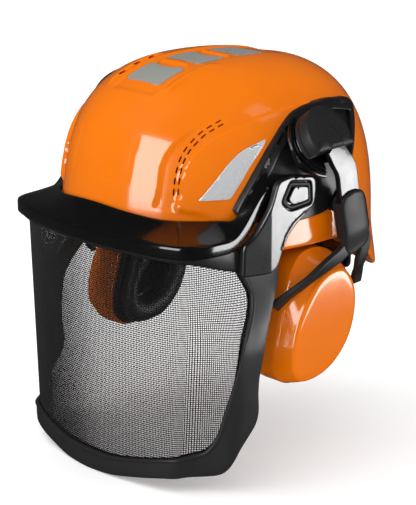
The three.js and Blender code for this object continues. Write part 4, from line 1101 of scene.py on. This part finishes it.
ARM_OUT, ARM_BACK, ARM_BEND, ARM_LEAN, SEAM_DEPTH = 106.0, 101.3 - 106.0, -46.0, 0.25, 0.55
ARM_OUTLINE = [(-36, 36, 3), (-28, 37.2, 3), (-8, 34.3, 4), (-5, 31, 3), (-5.4, 18, 4), (-9, 12.3, 4),
               (-12, 10.5, 3), (-23.7, 3, 5), (-30.5, -3.5, 5), (-36.3, -14, 5), (-38.7, -21, 3),
               (-42, -25, 3), (-48, -27, 3), (-57, -27, 3), (-67, -26.6, 1), (-66.3, -5.6, 3),
               (-59.5, -0.8, 5), (-53.7, 6.4, 6), (-45.9, 19.2, 6), (-41, 32.5, 5), (-39, 35, 2)]
ARM_WINDOW = [(-29.5, 34, 3), (-10, 31, 3), (-9, 15.5, 3), (-29.5, 13.5, 4), (-37.5, 20.5, 3)]
ARM_ISLAND = [(-25.6, 29.6, 2), (-13.4, 27.8, 2), (-12.8, 18.8, 2), (-27.2, 17.6, 2.5), (-31, 21.6, 2)]
SEAM = curve([(-9.5, 12.8), (-17, 10.2), (-27, 4.5), (-34, -4), (-37.5, -12)], 10)


def arm_place(y, z, d):
    """Outer face of the arm: it leans in towards the visor, and a fine seam is sunk in it."""
    lean = ARM_LEAN * np.where(y < ARM_BEND, ARM_BEND - y, 0)
    seam = SEAM_DEPTH * (1 - smooth_step(0.15, 0.6, np.abs(line_distance(y, z, SEAM)[0])))
    return np.column_stack([ARM_OUT + d - lean - np.where(d > -1.2, seam, 0), y, z])


def visor_arm():
    outline, window = (dense(rounded(o, r, 6), 1.2) for o, r in ((ARM_OUTLINE, 4), (ARM_WINDOW, 3)))
    levels = [(0.5, ARM_BACK), (0, ARM_BACK + 0.5), (0, -1.2), (0.25, -0.5), (0.7, -0.15), (1.2, 0.0)]
    return join(slab(outline, [window], levels, arm_place, 0.75),
                slab(window, [], [(-0.5, -4.2), (-0.5, -2.4)], arm_place, 2.0))


pair("visor_link", visor_arm(), ARM_BLACK, "visor", "visor_arm_{s}", sharp=32)


def arm_badge():
    """Island in the arm's window, with rounded edges."""
    line = respace(rounded(ARM_ISLAND, 2, 10), 72, closed=True)
    return slab(line, [], edge_levels(-2.3, 0.35, 0.4), arm_place, 1.2)


pair("hinge_cover", arm_badge(), ARM_BLACK, "visor", "visor_pivot_cap_{s}")


def gasket():
    line = respace(rounded(ARM_WINDOW, 3, 10), 110, closed=True)
    line = inset(line, -1.9 if turn_area(line) < 0 else 1.9)
    tangents = np.roll(line, -1, 0) - np.roll(line, 1, 0)
    tangents /= np.linalg.norm(tangents, axis=1)[:, None]
    normal = np.stack([-tangents[:, 1], tangents[:, 0]], 1)
    rings = []
    for t in 2 * math.pi * np.arange(12) / 12:
        flat = line + normal * 1.5 * math.cos(t)
        rings.append(arm_place(flat[:, 0], flat[:, 1], np.full(len(line), -1.2 + 1.1 * math.sin(t))))
    return sweep(rings, closed=True)


pair("hinge_gasket", gasket(), MATT_BLACK, "visor", None)

# ---------- headband and suspension

BAND_W, BAND_L, BAND_Y = 78.0, 99.0, 1.0


def band_point(angle, inward, z):
    x, y = (BAND_W - inward) * math.cos(angle), BAND_Y + (BAND_L - inward) * math.sin(angle)
    return np.column_stack([x + 0 * z, y + 0 * z, z])


def sweatband():
    """Padded brow band, quilted across."""
    section = round_rect(21, 3.0, 1.4, 4)
    across, deep = section[:, 0] + 2, section[:, 1]
    rings = []
    for a in np.linspace(-math.pi * 0.925, -math.pi * 0.075, 200):
        swell = np.where(deep > 0, 0.75 + 0.25 * abs(math.sin(a * 22)), 1)
        rings.append(band_point(a, 2.6 + 1.55 + deep * swell, across))
    return sweep(rings)


build("brow_pad", sweatband(), LEATHER, "shell", ["sweatband"])


def arch(front_angle, rear_angle, apex):
    """Crown strap: a flat web from one point of the band over to another."""
    a, b = (band_point(k, -5, np.array([10.0]))[0] for k in (front_angle, rear_angle))
    centre = (a + b) / 2 * [1, 1, 0]
    reach = a * [1, 1, 0] - centre
    across = unit((-reach[1], reach[0], 0))
    section = round_rect(18, 1.0, 0.3, 2)

    def spot(turn):
        height = 11 + abs(math.sin(turn)) ** 0.8 * (apex - 11.5)
        return centre + reach * math.cos(turn) * 0.993 + [0, 0, height]
    rings = []
    for turn in np.linspace(0, math.pi, 60):
        out = unit(np.cross(unit(spot(turn + 0.02) - spot(turn)), across))
        rings.append(spot(turn) + section[:, :1] * across + section[:, 1:] * out)
    return sweep(rings)


FRONT_CLIP, REAR_CLIP = -math.pi * 0.29, math.pi * 0.27
for strap, turns, apex in (("first", (FRONT_CLIP, math.pi - REAR_CLIP), 76),
                           ("second", (math.pi - FRONT_CLIP, REAR_CLIP), 79)):
    build(f"crown_web_{strap}", arch(*turns, apex), WEBBING, "shell", [f"crown_strap_{strap}"])

NAPE = placer((0, 0, -59), (1, 0, 0), (0, 1, 0))
nape = slab(dense(round_rect(56, 14, 5, 6), 1.5), [], edge_levels(85.6, 89.4, 1.6, both=True), NAPE, 2.0)
build("nape_cushion", nape, LEATHER, "nape_slide", ["nape_pad"])

# ---------- finishes of the CAD pieces that stay

KEPT = {STEEL: ("plate_screw", "muff_pivot_pin", "muff_flare_pin", "cup_pin", "visor_hinge_pin"),
        SATIN_BLACK: ("strap_clip", "headband", "nape_housing"), GRIP_BLACK: ("ratchet_knob",)}
for node_name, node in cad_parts.items():
    for material, starts in KEPT.items():
        if node_name.startswith(starts) and not node.hide_render:
            node.data.materials.clear()
            node.data.materials.append(material)

# ---------- stage, light and camera


FLOOR_WIDE, FLOOR_NEAR, FLOOR_FAR, COVE, WALL_TOP = 7.0, -6.0, 2.2, 1.2, 5.0
VIEW_TURN = math.radians(48)


def stage():
    """Pale floor with a curved cove behind the object; it is dim in gloss, and glows a little."""
    cove = [(FLOOR_FAR + COVE * math.sin(t), COVE - COVE * math.cos(t))
            for t in np.linspace(0.1, math.pi / 2, 10)]
    line = [(FLOOR_NEAR, 0), (FLOOR_FAR, 0), *cove, (FLOOR_FAR + COVE, WALL_TOP)]
    turn = Matrix.Rotation(VIEW_TURN, 3, "Z")
    points = [tuple(turn @ Vector((x, y, z))) for y, z in line for x in (-FLOOR_WIDE, FLOOR_WIDE)]
    mesh = bpy.data.meshes.new("floor")
    mesh.from_pydata(points, [], [[2 * i, 2 * i + 1, 2 * i + 3, 2 * i + 2] for i in range(len(line) - 1)])
    mesh.shade_smooth()
    m = Mat("pale_floor").set(Roughness=0.8, Specular_IOR_Level=0.05, Emission_Color=(1, 1, 1, 1))
    path = m.node("LightPath")
    pale = m.mix(m.noise(0.8), srgb(250, 250, 250), srgb(253, 253, 253))
    m.to(m.mix(path.outputs["Is Glossy Ray"], pale, srgb(58, 58, 58)), "Base Color")
    m.to(m.math("MULTIPLY", path.outputs["Is Camera Ray"], 0.2), "Emission Strength")
    mesh.materials.append(m.mat)
    add_object("floor", mesh)


def softbox(name, middle, toward, distance, size, radiance, lights):
    """Rectangular light: a key that only lights, or a card that is only seen in gloss."""
    data = bpy.data.lights.new(name, "AREA")
    data.shape = "RECTANGLE"
    data.size, data.size_y = size
    data.energy = radiance * math.pi * size[0] * size[1]
    made = add_object(name, data)
    toward = Vector(unit(toward))
    made.location = Vector(middle) + toward * distance
    made.rotation_mode = "QUATERNION"
    made.rotation_quaternion = (-toward).to_track_quat("-Z", "Y")
    made.visible_diffuse = lights
    made.visible_glossy = not lights


stage()
softbox("key_box", (0, 0, 0.15), (-0.4, -0.62, 1.0), 2.0, (1.6, 1.6), 1.5, True)
softbox("front_card", (0.05, -0.09, 0.22), (0.06, -0.95, 0.27), 1.95, (1.15, 1.6), 7.5, False)
softbox("top_card", (0, 0, 0.2), (0.55, 0.3, 0.75), 1.6, (0.4, 0.5), 0.8, False)
softbox("side_card", (0.1, -0.03, 0.2), (0.71, 0.66, -0.22), 0.55, (0.34, 0.28), 10.5, False)

world = bpy.data.worlds.new("studio")
world.use_nodes = True
tree = world.node_tree
path = tree.nodes.new("ShaderNodeLightPath")
BACKDROP, AMBIENT, GLOSS_ROOM = 1.0, 0.98, 0.035
level = None
for ray, strength in (("Camera", BACKDROP), ("Diffuse", AMBIENT), ("Glossy", GLOSS_ROOM)):
    part = tree.nodes.new("ShaderNodeMath")
    part.operation = "MULTIPLY_ADD"
    tree.links.new(path.outputs[f"Is {ray} Ray"], part.inputs[0])
    part.inputs[1].default_value = strength
    part.inputs[2].default_value = 0.0
    if level:
        tree.links.new(level, part.inputs[2])
    level = part.outputs[0]
tree.links.new(level, tree.nodes["Background"].inputs["Strength"])
tree.nodes["Background"].inputs["Color"].default_value = (1, 1, 1, 1)
bpy.context.scene.world = world
bpy.context.scene.view_settings.view_transform = "Standard"

ELEVATION, DISTANCE, LENS = math.radians(14.07), 1.35, 134.0
AIM_LEFT, AIM_DOWN = 0.0061, 0.0413
flat = math.cos(ELEVATION)
back = Vector((math.sin(VIEW_TURN) * flat, -math.cos(VIEW_TURN) * flat, math.sin(ELEVATION)))
right = Vector((math.cos(VIEW_TURN), math.sin(VIEW_TURN), 0))
aim = Vector(ORIGIN) - right * AIM_LEFT - back.cross(right) * AIM_DOWN
camera = add_object("camera", bpy.data.cameras.new("camera"))
camera.data.lens = LENS
camera.location = Vector(ORIGIN) + back * DISTANCE
camera.rotation_mode = "QUATERNION"
camera.rotation_quaternion = (aim - camera.location).to_track_quat("-Z", "Y")
bpy.context.scene.camera = camera
